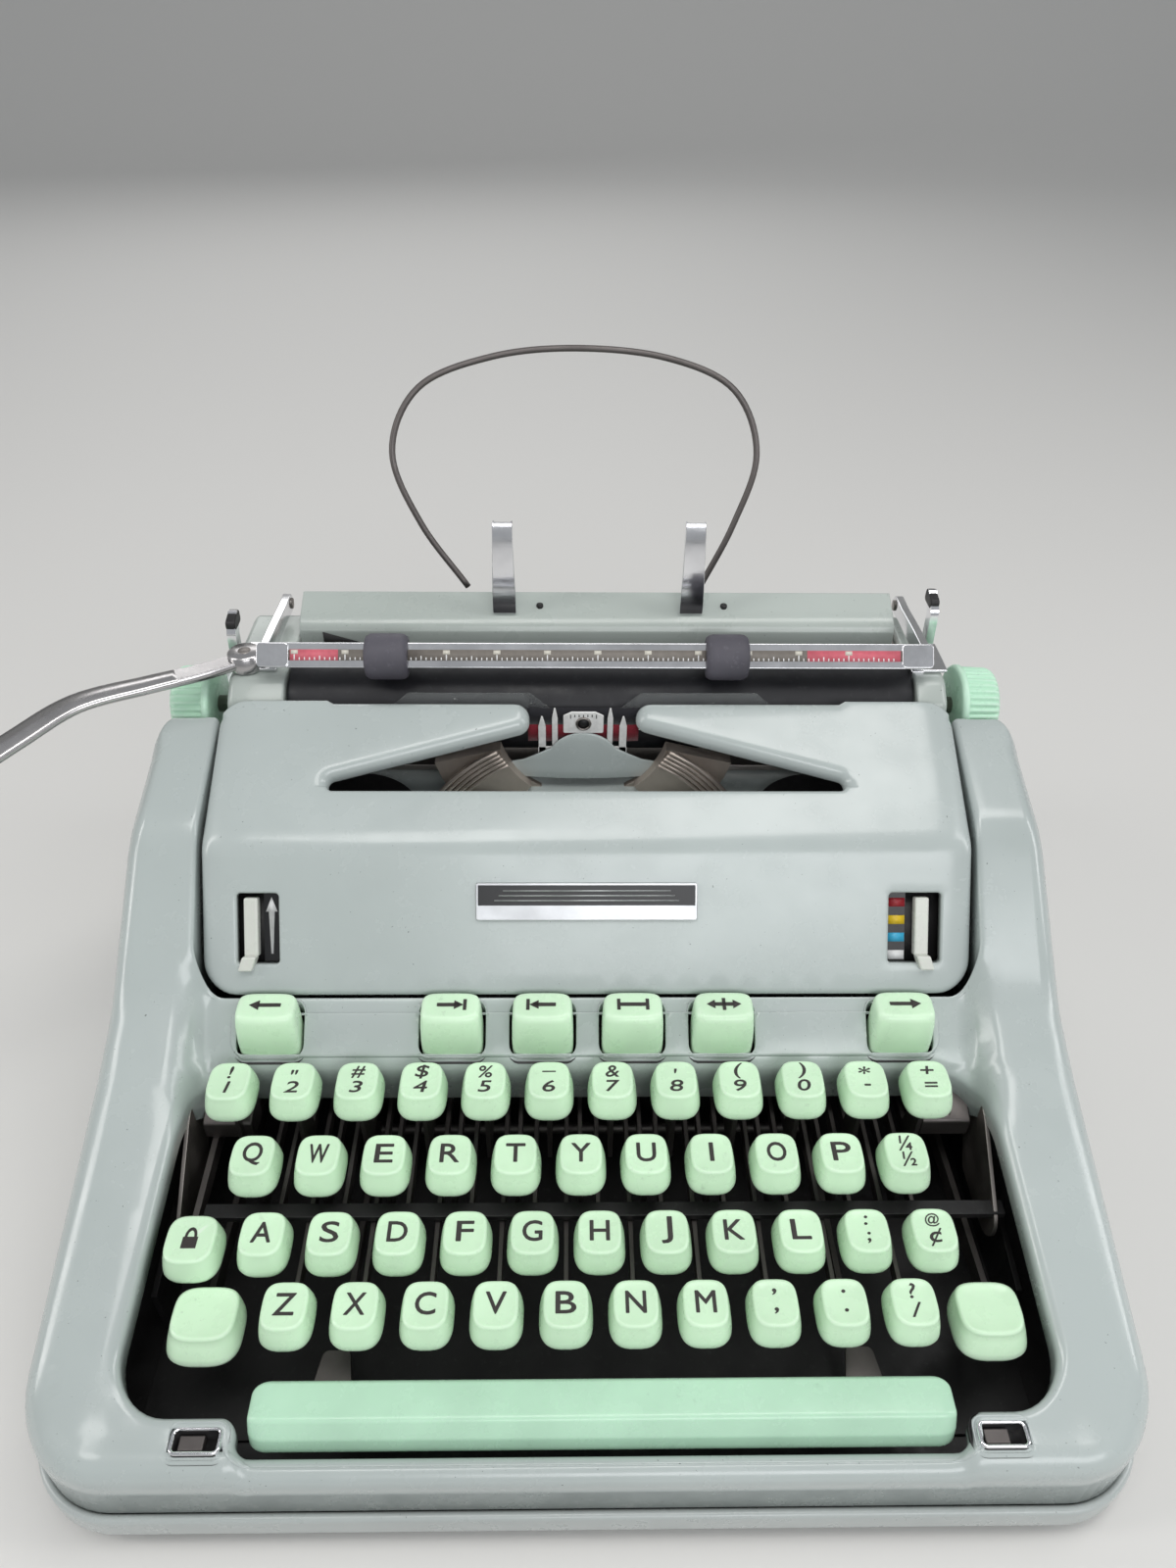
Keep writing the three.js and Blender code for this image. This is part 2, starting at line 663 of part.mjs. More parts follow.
function buildTypeBasket() {
  const slot = (degrees) => {
    const slotZ = [-segmentOuter + 4, -segmentInner + 2];
    const geometry = box([-1.2, 1.2], [segmentY[0] - 1, segmentY[0] + 3], slotZ);
    geometry.rotateY(THREE.MathUtils.degToRad(degrees));
    geometry.translate(printX, 0, printZ);
    return geometry;
  };
  const slots = [slot(0)];
  const pieces = [];
  for (const side of [-1, 1]) {
    for (let i = 0; i < typebarCount; i += 1) {
      const degrees = -side * (typebarFirst + i * typebarStep);
      const bar = typebar();
      bar.translate(0, typebarPivotY, -segmentRadius);
      bar.rotateY(THREE.MathUtils.degToRad(degrees));
      bar.translate(printX, 0, printZ);
      pieces.push(bar);
      slots.push(slot(degrees));
    }
  }
  const half = prismY(sector(segmentInner, segmentOuter, -166, -14, 20), segmentY);
  add('type_segment', cut(half, ...slots), steel);
  const spread = typebarFirst + typebarCount * typebarStep;
  const rest = prismY(
    sector(segmentRadius + 1, segmentRadius + 3.4, -90 - spread, -90 + spread, 16), [164, 168]);
  add('typebar_fan', join(...pieces, rest), steel);
  const example = typebar();
  example.rotateX(THREE.MathUtils.degToRad(-5));
  example.translate(printX, typebarPivotY, printZ - segmentRadius);
  add('typebar_h', example, steel);
}

function buildPrintingPoint() {
  const dome = [[-19.5, 116], [19.5, 116], [20.5, 120], [17, 126], [11, 131], [4, 134.2],
    [-4, 134.2], [-11, 131], [-17, 126], [-20.5, 120]];
  add('type_shield', prismY(dome.map(([x, z]) => [x + printX, z]), [202.6, 203.2]), enamel);
  const guide = cut(box(around(printX, 14), [202.6, 203.3], [134.8, 143.6]),
    rodY(printX, [200, 206], printZ + 0.8, 1.4, 12));
  add('type_guide', guide, chrome);
  const prongs = [-14.5, -10, 9.4, 14].map((x) => (
    box(around(printX + x, 2.2), [203.7, 204.3], [124, 144.4])
  ));
  add('ribbon_vibrator', join(box(around(printX, 36), [203.7, 204.3], [124, 127]), ...prongs), steel);
  add('ribbon', box(around(printX, 39), [204.6, 205], [129.8, 144]), ribbonCloth);
  add('card_holder_left', box([-71, -11], [205.5, 206.1], [134, 149.5]), clearPlastic);
  add('card_holder_right', box([9.3, 67.3], [205.5, 206.1], [134, 149.5]), clearPlastic);
  for (const [side, x] of [['left', -82], ['right', 82]]) {
    const flanges = [[102, 103.5], [114.5, 116]].map((z) => rodZ(x, spoolY, z, spoolRadius));
    const spool = join(...flanges, rodZ(x, spoolY, [103, 115], woundRadius));
    add(`ribbon_spool_${side}`, spool, blackMetal);
  }
}

// ---- carriage ------------------------------------------------------------------------

function buildCarriageFrame() {
  const plate = box([endLeft[0], endRight[1]], carriagePlateY, carriagePlateZ);
  const uprights = [[endLeft[1] + gap, endLeft[1] + 2.4], [endRight[0] - 2.4, endRight[0] - gap]].map((x) => (
    box(x, [tableY + 3.6, carriagePlateY[1]], [carriagePlateZ[0] + 0.4, platenTop - 3.4])
  ));
  const rail = rodX([endLeft[1] + gap, endRight[0] - gap], marginRailY, marginRailZ, marginRailRadius, 12);
  add('carriage_frame', join(plate, ...uprights, rail), blackMetal);
  const round = Array.from({ length: 9 }, (_, i) => {
    const angle = THREE.MathUtils.degToRad(90 + i * 90 / 8);
    return [platenY + platenRadius * Math.cos(angle), platenZ + platenRadius * Math.sin(angle)];
  });
  const foot = carriagePlateZ[1] + gap;
  const back = carriagePlateY[1];
  const bottom = [[platenFrontY, foot + 6], [platenFrontY + 6, foot], [back, foot]];
  const profile = [...round, ...bottom, [back, platenTop]];
  [['left', endLeft], ['right', endRight]].forEach(([side, x]) => {
    const bore = rodX(grow(x, 2), platenY, platenZ, platenShaft + gap, 16);
    add(`carriage_end_${side}`, cut(prismX(profile, x), bore), enamel);
  });
  marginStopX.forEach((x, i) => {
    const stop = cut(box(around(x, 9), around(marginRailY, 10), around(marginRailZ, 11)),
      rodX(around(x, 12), marginRailY, marginRailZ, marginRailRadius + gap, 12));
    add(`margin_stop_${i ? 'right' : 'left'}`, stop, chrome);
  });
}

function buildPlaten() {
  const roll = rodX(platenX, platenY, platenZ, platenRadius - 0.05, 48);
  const shaft = rodX([-knobInner + gap, knobInner - gap], platenY, platenZ, platenShaft, 16);
  add('platen', join(roll, shaft), blackRubber);
  const flutes = Array.from({ length: 36 }, (_, i) => {
    const angle = 2 * Math.PI * i / 36;
    const radius = i % 2 ? knobRadius - 1 : knobRadius;
    return [platenY + radius * Math.cos(angle), platenZ + radius * Math.sin(angle)];
  });
  add('platen_knob_left', prismX(flutes, [-knobOuter, -knobInner]), mint);
  add('platen_knob_right', prismX(flutes, [knobInner, knobOuter]), mint);
}

function buildPaperTable() {
  const tableX = [endLeft[1] + gap, 114];
  const place = ([y, z]) => [tableY + y, platenTop + z];
  const sheet = [
    [0, -23.4], [1.4, -23.4], [2, -0.4], [4.6, 4], [15.6, 9.6], [17, 5.6], [18.4, 6.2],
    [17, 11.6], [3.4, 5.6], [0.6, 0.6],
  ].map(place);
  add('paper_table', prismX(sheet, tableX), enamel);
  const finger = [[5.6, 7.8], [9.4, 9.6], [12.8, 18.6], [24, 40.6], [22.2, 42], [11, 19.6]].map(place);
  add('paper_finger_left', prismX(finger, around(-30.3, 8.6)), chrome);
  add('paper_finger_right', prismX(finger, around(38.5, 8.6)), chrome);
  const loop = [
    [-44.6, 21.6, 10.6], [-61, 25.6, 34.6], [-70, 32.6, 58.6], [-60, 41.6, 78.6], [-34, 47.6, 87.6],
    [-4, 49.6, 90.1], [28, 47.6, 87.6], [52, 41.6, 78.6], [61, 32.6, 58.6], [54, 25.6, 34.6],
    [42.9, 21.6, 10.6],
  ].map(([x, y, z]) => [x, ...place([y, z])]);
  add('paper_support_wire', wire(loop, 1.2, 60, 6), steel);
}

function buildPaperBail() {
  const scaleTilt = THREE.MathUtils.degToRad(40);
  const strip = (x) => {
    const geometry = box(x, [-0.8, 0.8], [-4.4, 4.4]);
    geometry.rotateX(-scaleTilt);
    geometry.translate(0, bailY - 1.6, bailZ + 1.4);
    return geometry;
  };
  const clear = bailRollerWidth / 2 + 0.5;
  const [a, b] = bailRollerX;
  const arm = [[bailY - 3, bailZ - 3], [bailY + 4, bailZ - 4], [bailPivotY + 3, bailPivotZ - 3],
    [bailPivotY + 3, bailPivotZ + 3], [bailY + 4, bailZ + 4], [bailY - 3, bailZ + 3]];
  const arms = bailArmX.map((x) => prismX(arm, around(x, 2.4)));
  const bail = join(rodX(bailArmX, bailY, bailZ, bailRod, 12),
    strip([bailArmX[0] + 1, a - clear]), strip([a + clear, b - clear]),
    strip([b + clear, bailArmX[1] - 1]), ...arms);
  add('paper_bail', bail, chrome);
  bailRollerX.forEach((x, i) => {
    const roller = cut(rodX(around(x, bailRollerWidth), bailY, bailZ, bailRollerRadius, 20),
      rodX(around(x, bailRollerWidth + 4), bailY, bailZ, bailRod + gap, 12));
    add(`bail_roller_${i ? 'right' : 'left'}`, roller, greyRubber);
  });
}

function buildCarriageLevers() {
  const hub = [-120.5, 222];
  const path = [
    [hub[0], hub[1], 3], [-134, 213.5, 3.2], [-150, 205.6, 3.2], [-171, 195, 2.6],
    [-186, 179.5, -0.8], [-203, 158, -5], [-216, 138, -8],
  ].map(([x, y, z]) => [x, y, platenTop + z]);
  const curve = new THREE.CatmullRomCurve3(path.map((point) => new THREE.Vector3(...point)));
  const steps = 20;
  const rings = Array.from({ length: steps + 1 }, (_, i) => {
    const t = i / steps;
    const centre = curve.getPoint(t);
    const along = curve.getTangent(t);
    const across = new THREE.Vector3(-along.y, along.x, 0).normalize();
    const half = lerp(4, 5, t);
    const corners = [[-half, -0.8], [-half + 1.6, -2], [half - 1.6, -2], [half, -0.8],
      [half, 0.8], [half - 1.6, 2], [-half + 1.6, 2], [-half, 0.8]];
    return corners.map(([s, up]) => [centre.x + across.x * s, centre.y + across.y * s, centre.z + up]);
  });
  const lever = join(loft(rings), rodZ(hub[0], hub[1], [platenTop + gap + 0.1, platenTop + 7], 6, 20));
  add('carriage_return_lever', lever, chrome);
  const release = [[238, 132], [246, 132], [246, 152], [236, 160.5], [232, 159], [239, 149]];
  add('carriage_release_lever', prismX(release, [-130.6, -127]), chrome);
  const paperRelease = [[244, 132], [252, 132], [252, 152], [259, 161], [254, 163], [245, 152]];
  add('paper_release_lever', prismX(paperRelease, [128, 131.4]), chrome);
}

buildBase();
buildHousing();
buildChassis();
buildKeyRows();
buildShiftKeys();
buildSpaceBar();
buildFunctionKeys();
buildRibbonCover();
buildTypeBasket();
buildPrintingPoint();
buildCarriageFrame();
buildPlaten();
buildPaperTable();
buildPaperBail();
buildCarriageLevers();

const typewriter = new THREE.Group();
typewriter.add(machine);

export default typewriter;
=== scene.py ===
"""Looks of a portable manual typewriter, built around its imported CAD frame.

Lengths are in millimetres in the frame's axes, except that y is measured from the front edge of
the base tray; put() turns them into metres in the row frame.
"""

import math

import bmesh
import bpy
from mathutils import Matrix, Vector
from mathutils.geometry import delaunay_2d_cdt


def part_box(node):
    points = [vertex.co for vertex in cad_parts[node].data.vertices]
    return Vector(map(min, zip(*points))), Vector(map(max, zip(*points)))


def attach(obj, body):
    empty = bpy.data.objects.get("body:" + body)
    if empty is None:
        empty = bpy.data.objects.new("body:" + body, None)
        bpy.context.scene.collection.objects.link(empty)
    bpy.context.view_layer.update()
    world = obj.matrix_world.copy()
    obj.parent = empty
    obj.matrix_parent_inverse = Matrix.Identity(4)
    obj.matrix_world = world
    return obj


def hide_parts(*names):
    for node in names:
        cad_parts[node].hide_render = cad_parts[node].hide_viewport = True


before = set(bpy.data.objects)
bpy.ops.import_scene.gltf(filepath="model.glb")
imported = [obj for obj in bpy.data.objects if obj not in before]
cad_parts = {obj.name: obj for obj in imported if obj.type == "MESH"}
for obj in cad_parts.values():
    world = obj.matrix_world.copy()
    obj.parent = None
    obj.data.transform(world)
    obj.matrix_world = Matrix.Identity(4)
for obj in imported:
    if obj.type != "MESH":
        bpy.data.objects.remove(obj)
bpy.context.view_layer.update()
MM = 0.001


def node_box(node):
    """Lowest and highest corner of a CAD node in millimetres, y measured from the tray's front."""
    low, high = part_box(node)
    shift = Vector((0, -FRONT, 0))
    return (low / MM + shift, high / MM + shift)


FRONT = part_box("base_tray")[0].y / MM


def put(point):
    """A point in millimetres, y from the tray's front, as metres in the row frame."""
    return Vector((point[0] * MM, (point[1] + FRONT) * MM, point[2] * MM))


# ---- camera and lights ------------------------------------------------------------------

CAMERA_PLACE = (-0.006434, -0.268226, 0.366722)
CAMERA_DOWN = math.radians(38.442)
CAMERA_YAW = math.radians(1.218)
CAMERA_ROLL = math.radians(-0.804)
CAMERA_LENS = 25.875
SENSOR = 36
FLOOR_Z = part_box("rubber_foot_front_left")[0].z


def make_camera():
    data = bpy.data.cameras.new("camera")
    data.lens = CAMERA_LENS
    data.sensor_width = SENSOR
    data.clip_start = 0.01
    camera = bpy.data.objects.new("camera", data)
    bpy.context.scene.collection.objects.link(camera)
    level = math.cos(CAMERA_DOWN)
    forward = Vector((math.sin(CAMERA_YAW) * level, math.cos(CAMERA_YAW) * level, -math.sin(CAMERA_DOWN)))
    right = Vector((math.cos(CAMERA_YAW), -math.sin(CAMERA_YAW), 0))
    down = forward.cross(right)
    turned = math.cos(CAMERA_ROLL) * right + math.sin(CAMERA_ROLL) * down
    up = math.sin(CAMERA_ROLL) * right - math.cos(CAMERA_ROLL) * down
    place = Matrix((turned, up, -forward)).transposed().to_4x4()
    place.translation = Vector(CAMERA_PLACE)
    camera.matrix_world = place
    bpy.context.scene.camera = camera


def area_light(name, place, target, size, power, colour=(1, 1, 1)):
    data = bpy.data.lights.new(name, "AREA")
    data.shape = "RECTANGLE"
    data.size, data.size_y = size
    data.energy = power
    data.color = colour
    light = bpy.data.objects.new(name, data)
    light.location = place
    light.rotation_euler = (Vector(target) - Vector(place)).to_track_quat("-Z", "Y").to_euler()
    bpy.context.scene.collection.objects.link(light)


def make_studio():
    middle = (0, 0, 0.08)
    area_light("top_light", (0.1, -0.15, 1.3), middle, (1.2, 0.35), 6, (1, 0.99, 0.97))
    area_light("front_light", (0.4, -1.3, 0.9), middle, (1.2, 0.5), 7, (0.97, 0.98, 1))
    area_light("left_light", (-1.2, -0.2, 0.75), middle, (0.25, 1.1), 4.5, (1, 0.98, 0.96))
    area_light("right_light", (1.2, -0.1, 0.75), middle, (0.25, 1.1), 3.6)
    area_light("back_light", (-0.3, 1.5, 0.8), middle, (1.2, 0.5), 3.5)
    world = bpy.data.worlds.new("studio")
    world.use_nodes = True
    sky = world.node_tree.nodes["Background"]
    sky.inputs["Color"].default_value = (0.82, 0.85, 0.88, 1)
    sky.inputs["Strength"].default_value = 0.42
    bpy.context.scene.world = world
    bpy.context.scene.view_settings.view_transform = "Standard"
    bpy.context.scene.view_settings.look = "None"
    make_floor()


def make_floor():
    """A pale floor that turns up into a wall far behind the machine."""
    turn = 1.2
    wall = 3.0
    steps = 16
    line = [(-4.0, 0.0), (1.8, 0.0)]
    for i in range(1, steps + 1):
        angle = math.pi / 2 * i / steps
        line.append((1.8 + turn * math.sin(angle), turn * (1 - math.cos(angle))))
    line.append((1.8 + turn, wall))
    half = 5.0
    verts = [(x, y, FLOOR_Z + z) for y, z in line for x in (-half, half)]
    faces = [(2 * i, 2 * i + 1, 2 * i + 3, 2 * i + 2) for i in range(len(line) - 1)]
    mesh = bpy.data.meshes.new("floor")
    mesh.from_pydata(verts, [], faces)
    mesh.shade_smooth()
    floor = bpy.data.objects.new("floor", mesh)
    bpy.context.scene.collection.objects.link(floor)
    floor.data.materials.append(MATERIALS["floor"])


# ---- materials ----------------------------------------------------------------------------

MATERIALS = {}


class Nodes:
    """A material under construction, with short calls for the nodes that the finishes share."""

    def __init__(self, name, colour, roughness, metallic=0.0, **sockets):
        self.material = bpy.data.materials.new(name)
        self.material.use_nodes = True
        self.tree = self.material.node_tree
        self.shader = self.tree.nodes["Principled BSDF"]
        self.shader.inputs["Base Color"].default_value = (*colour, 1)
        self.shader.inputs["Roughness"].default_value = roughness
        self.shader.inputs["Metallic"].default_value = metallic
        for socket, value in sockets.items():
            self.shader.inputs[socket.replace("_", " ")].default_value = value
        self.place = self.add("ShaderNodeTexCoord").outputs["Object"]
        self.normal = None
        MATERIALS[name] = self.material

    def add(self, kind, **settings):
        node = self.tree.nodes.new(kind)
        for key, value in settings.items():
            setattr(node, key, value)
        return node

    def link(self, source, target):
        self.tree.links.new(source, target)

    def noise(self, scale, detail=3.0, rough=0.5, stretch=None):
        node = self.add("ShaderNodeTexNoise")
        node.inputs["Scale"].default_value = scale
        node.inputs["Detail"].default_value = detail
        node.inputs["Roughness"].default_value = rough
        place = self.place
        if stretch:
            mapping = self.add("ShaderNodeMapping")
            mapping.inputs["Scale"].default_value = stretch
            self.link(place, mapping.inputs["Vector"])
            place = mapping.outputs["Vector"]
        self.link(place, node.inputs["Vector"])
        return node.outputs["Fac"]

    def spread(self, value, low, high, to_low=0.0, to_high=1.0):
        node = self.add("ShaderNodeMapRange")
        node.inputs["From Min"].default_value = low
        node.inputs["From Max"].default_value = high
        node.inputs["To Min"].default_value = to_low
        node.inputs["To Max"].default_value = to_high
        self.link(value, node.inputs["Value"])
        return node.outputs["Result"]

    def times(self, a, b):
        node = self.add("ShaderNodeMath", operation="MULTIPLY")
        self.link(a, node.inputs[0])
        self.link(b, node.inputs[1])
        return node.outputs[0]

    def blend(self, factor, colour_a, colour_b):
        node = self.add("ShaderNodeMix", data_type="RGBA")
        self.link(factor, node.inputs["Factor"])
        for socket, colour in (("A", colour_a), ("B", colour_b)):
            target = [s for s in node.inputs if s.name == socket and s.type == "RGBA"][0]
            if isinstance(colour, tuple):
                target.default_value = (*colour, 1)
            else:
                self.link(colour, target)
        return [s for s in node.outputs if s.type == "RGBA"][0]

    def edges(self, low=0.53, high=0.62):
        """1 on convex edges and 0 elsewhere."""
        return self.spread(self.add("ShaderNodeNewGeometry").outputs["Pointiness"], low, high)

    def bump(self, height, strength, distance):
        node = self.add("ShaderNodeBump")
        node.inputs["Strength"].default_value = strength
        node.inputs["Distance"].default_value = distance
        self.link(height, node.inputs["Height"])
        if self.normal is not None:
            self.link(self.normal, node.inputs["Normal"])
        self.normal = node.outputs["Normal"]
        self.link(self.normal, self.shader.inputs["Normal"])

    def colour(self, source):
        self.link(source, self.shader.inputs["Base Color"])

    def roughness(self, source):
        self.link(source, self.shader.inputs["Roughness"])


def enamel(name, colour, roughness=0.2):
    """Glossy sprayed enamel: faint orange peel, slow change of shade, dust and worn edges."""
    m = Nodes(name, colour, roughness, Coat_Weight=0.35, Coat_Roughness=0.12)
    cloud = m.spread(m.noise(9, 4), 0.35, 0.65)
    deep = tuple(c * 0.93 for c in colour)
    pale = tuple(min(1, c * 1.05) for c in colour)
    base = m.blend(cloud, deep, pale)
    specks = m.spread(m.noise(900, 2, 0.6), 0.735, 0.76)
    dirty = m.blend(specks, base, tuple(c * 0.35 for c in colour))
    wear = m.times(m.edges(0.56, 0.64), m.spread(m.noise(140, 5, 0.7), 0.56, 0.66))
    m.colour(m.blend(wear, dirty, (0.75, 0.77, 0.76)))
    m.roughness(m.spread(m.noise(60, 5, 0.6), 0.3, 0.75, roughness - 0.05, roughness + 0.16))
    m.bump(m.noise(1400, 1), 0.05, 0.0002)
    m.bump(m.noise(170, 2), 0.05, 0.0006)


def moulded(name, colour, roughness=0.24):
    """Old moulded plastic: soft gloss, darker grime in scattered patches and a painted highlight that
    lightens the convex edges.
    """
    m = Nodes(name, colour, roughness, Subsurface_Weight=0.08, Subsurface_Scale=0.002, IOR=1.5)
    m.shader.inputs["Subsurface Radius"].default_value = (0.6, 1.0, 0.6)
    cloud = m.spread(m.noise(45, 4), 0.3, 0.7)
    base = m.blend(cloud, tuple(c * 0.93 for c in colour), tuple(min(1, c * 1.05) for c in colour))
    # painted highlight: every convex edge is lightened towards white, standing in for the gloss catching the
    # light
    rim = m.blend(m.edges(0.52, 0.6), base, tuple(c * 0.72 + 0.28 for c in colour))
    grime = m.times(m.spread(m.noise(260, 6, 0.7), 0.6, 0.75), m.spread(m.noise(30, 3), 0.45, 0.7))
    m.colour(m.blend(grime, rim, tuple(c * 0.62 for c in colour)))
    m.roughness(m.spread(m.noise(120, 5, 0.6), 0.3, 0.75, roughness - 0.04, roughness + 0.18))
    m.bump(m.noise(500, 3), 0.05, 0.0003)


def bare_metal(name, colour, roughness, streak=(1, 1, 1), smudge=0.1):
    """Plated or polished metal with fine marks along one direction and soft smudges."""
    m = Nodes(name, colour, roughness, 1.0)
    cloud = m.spread(m.noise(50, 5, 0.6), 0.3, 0.7)
    m.colour(m.blend(cloud, tuple(c * 0.8 for c in colour), tuple(min(1, c * 1.06) for c in colour)))
    m.roughness(m.spread(m.noise(90, 5, 0.65), 0.3, 0.75, roughness, roughness + smudge))
    m.bump(m.noise(700, 4, 0.6, streak), 0.08, 0.0002)


def matt_black(name, colour, roughness, pits=0.12):
    """Black rubber or black paint with dust in its texture."""
    m = Nodes(name, colour, roughness)
    dust = m.spread(m.noise(400, 5, 0.7), 0.58, 0.8)
    cloud = m.spread(m.noise(25, 3), 0.3, 0.7)
    base = m.blend(cloud, colour, tuple(c * 1.7 + 0.002 for c in colour))
    m.colour(m.blend(dust, base, tuple(c * 2.2 + 0.02 for c in colour)))
    m.roughness(m.spread(m.noise(150, 4), 0.3, 0.7, roughness - 0.1, roughness + 0.12))
    m.bump(m.noise(900, 4, 0.6), pits, 0.0003)


def woven(name, colour):
    """Inked cotton tape: two crossed sets of fine threads."""
    m = Nodes(name, colour, 0.85, Sheen_Weight=0.2)
    across = m.noise(600, 2, 0.5, (1, 1, 6))
    along = m.noise(600, 2, 0.5, (6, 1, 1))
    m.colour(m.blend(across, tuple(c * 0.6 for c in colour), tuple(c * 1.3 for c in colour)))
    m.bump(across, 0.3, 0.0003)
    m.bump(along, 0.3, 0.0003)


def clear_plastic(name):
    m = Nodes(name, (0.93, 0.95, 0.95), 0.08, Transmission_Weight=0.96, IOR=1.35)
    scratches = m.noise(220, 6, 0.7, (1, 1, 5))
    m.roughness(m.spread(scratches, 0.55, 0.75, 0.04, 0.35))
    m.bump(scratches, 0.05, 0.0002)


def flat_ink(name, colour, roughness=0.5):
    """Printed or filled legends, with slightly uneven ink."""
    m = Nodes(name, colour, roughness)
    m.colour(m.blend(m.noise(500, 4), tuple(c * 0.75 for c in colour), tuple(c * 1.2 for c in colour)))
    m.bump(m.noise(1500, 2), 0.1, 0.0001)


def make_materials():
    enamel("enamel", (0.45, 0.50, 0.488))
    enamel("enamel_worn", (0.44, 0.475, 0.465), 0.26)
    enamel("enamel_carriage", (0.42, 0.465, 0.435), 0.28)
    moulded("mint", (0.66, 0.90, 0.64))
    moulded("mint_bar", (0.50, 0.76, 0.57), 0.2)
    moulded("mint_knob", (0.52, 0.80, 0.61))
    moulded("lever_plastic", (0.60, 0.62, 0.56))
    matt_black("black_paint", (0.008, 0.0075, 0.008), 0.5)
    matt_black("platen_rubber", (0.006, 0.006, 0.008), 0.5, 0.05)
    matt_black("roller_rubber", (0.055, 0.052, 0.064), 0.6, 0.2)
    matt_black("foot_rubber", (0.012, 0.012, 0.012), 0.75, 0.2)
    bare_metal("lever_steel", (0.17, 0.155, 0.15), 0.42, (1, 0.1, 1), 0.2)
    bare_metal("steel", (0.36, 0.33, 0.31), 0.34, (1, 1, 0.2), 0.2)
    # the segment's pale brown-grey is partly the steel's own colour and partly painted light that brightens
    # it against the shade it sits in
    bare_metal("segment_steel", (0.62, 0.55, 0.49), 0.5, (1, 1, 0.2), 0.15)
    bare_metal("lever_steel_bright", (0.62, 0.6, 0.6), 0.2, (0.2, 1, 1), 0.12)
    # the nickel parts are a pale matt ink, not metal: their bright colour is a painted reflection of the
    # plating's shine
    flat_ink("nickel", (0.82, 0.82, 0.80), 0.28)
    bare_metal("chrome", (0.88, 0.88, 0.9), 0.1, (0.2, 1, 1), 0.1)
    bare_metal("plate_metal", (0.6, 0.61, 0.62), 0.3, (0.1, 1, 1))
    woven("ribbon_black", (0.006, 0.006, 0.01))
    woven("ribbon_red", (0.20, 0.006, 0.018))
    clear_plastic("clear")
    flat_ink("legend", (0.035, 0.030, 0.028))
    flat_ink("scale_dark", (0.19, 0.17, 0.15))
    flat_ink("scale_mark", (0.66, 0.63, 0.55))
    flat_ink("scale_red", (0.62, 0.13, 0.17))
    flat_ink("print_black", (0.008, 0.008, 0.009), 0.3)
    flat_ink("print_white", (0.8, 0.8, 0.8), 0.35)
    flat_ink("print_red", (0.35, 0.02, 0.03), 0.35)
    flat_ink("print_yellow", (0.75, 0.52, 0.02), 0.35)
    flat_ink("print_blue", (0.05, 0.42, 0.66), 0.35)
    backdrop = Nodes("floor", (0.70, 0.69, 0.67), 0.6)
    backdrop.bump(backdrop.noise(300, 3), 0.05, 0.0005)


# ---- mesh helpers -------------------------------------------------------------------------


def piece(name, verts, faces, material, body, nodes=(), slot=None, smooth=True, materials=(), pick=None,
          sheet=False):
    """A mesh in millimetres that rides on a CAD body and stands for the CAD nodes.

    pick gives each face's material from its middle, as an index into (material, *materials).
    A sheet is an open mesh whose faces are made to point up and towards the front."""
    mesh = bpy.data.meshes.new(name)
    mesh.from_pydata([put(v) for v in verts], [], faces)
    for each in (material, *materials):
        mesh.materials.append(MATERIALS[each])
    if smooth:
        mesh.shade_smooth()
    obj = bpy.data.objects.new(name, mesh)
    bpy.context.scene.collection.objects.link(obj)
    work = bmesh.new()
    work.from_mesh(mesh)
    bmesh.ops.remove_doubles(work, verts=work.verts, dist=2e-6)
    bmesh.ops.recalc_face_normals(work, faces=work.faces)
    if sheet and sum(f.calc_area() * (f.normal.z - f.normal.y) for f in work.faces) < 0:
        bmesh.ops.reverse_faces(work, faces=work.faces)
    work.to_mesh(mesh)
    work.free()
    if pick:
        for polygon in mesh.polygons:
            middle = polygon.center / MM - Vector((0, FRONT, 0))
            polygon.material_index = pick(middle)
    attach(obj, body)
    if nodes:
        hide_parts(*nodes)
    return obj


def bevel(obj, width, segments=3, angle=30):
    """Rounds every edge sharper than angle degrees."""
    modifier = obj.modifiers.new("round", "BEVEL")
    modifier.width = width * MM
    modifier.segments = segments
    modifier.limit_method = "ANGLE"
    modifier.angle_limit = math.radians(angle)
    modifier.harden_normals = True
    modifier.use_clamp_overlap = True
    return obj


def thicken(obj, amount, offset=-1):
    modifier = obj.modifiers.new("sheet", "SOLIDIFY")
    modifier.thickness = amount * MM
    modifier.offset = offset
    return obj


def grid(rows, close_u=False, close_v=False, cap_start=False, cap_end=False, first=0):
    """Faces between rows of equally many points; v runs along a row and u from row to row."""
    count = len(rows[0])
    verts = [p for row in rows for p in row]
    faces = []
    for u in range(len(rows) if close_u else len(rows) - 1):
        for v in range(count if close_v else count - 1):
            a = u * count + v
            b = u * count + (v + 1) % count
            c = ((u + 1) % len(rows)) * count + (v + 1) % count
            d = ((u + 1) % len(rows)) * count + v
            faces.append((first + a, first + b, first + c, first + d))
    if cap_start:
        faces.append(tuple(first + v for v in reversed(range(count))))
    if cap_end:
        last = (len(rows) - 1) * count
        faces.append(tuple(first + last + v for v in range(count)))
    return verts, faces


def merged(*parts):
    """Joins (verts, faces) pairs into one."""
    verts, faces = [], []
    for part_verts, part_faces in parts:
        faces += [tuple(i + len(verts) for i in face) for face in part_faces]
        verts += part_verts
    return verts, faces


def box_part(x, y, z):
    """The corners and faces of a box, to be joined, bent or bevelled."""
    bottom = [(x[0], y[0], z[0]), (x[1], y[0], z[0]), (x[1], y[1], z[0]), (x[0], y[1], z[0])]
    top = [(px, py, z[1]) for px, py, _ in bottom]
    return grid([bottom, top], close_v=True, cap_start=True, cap_end=True)


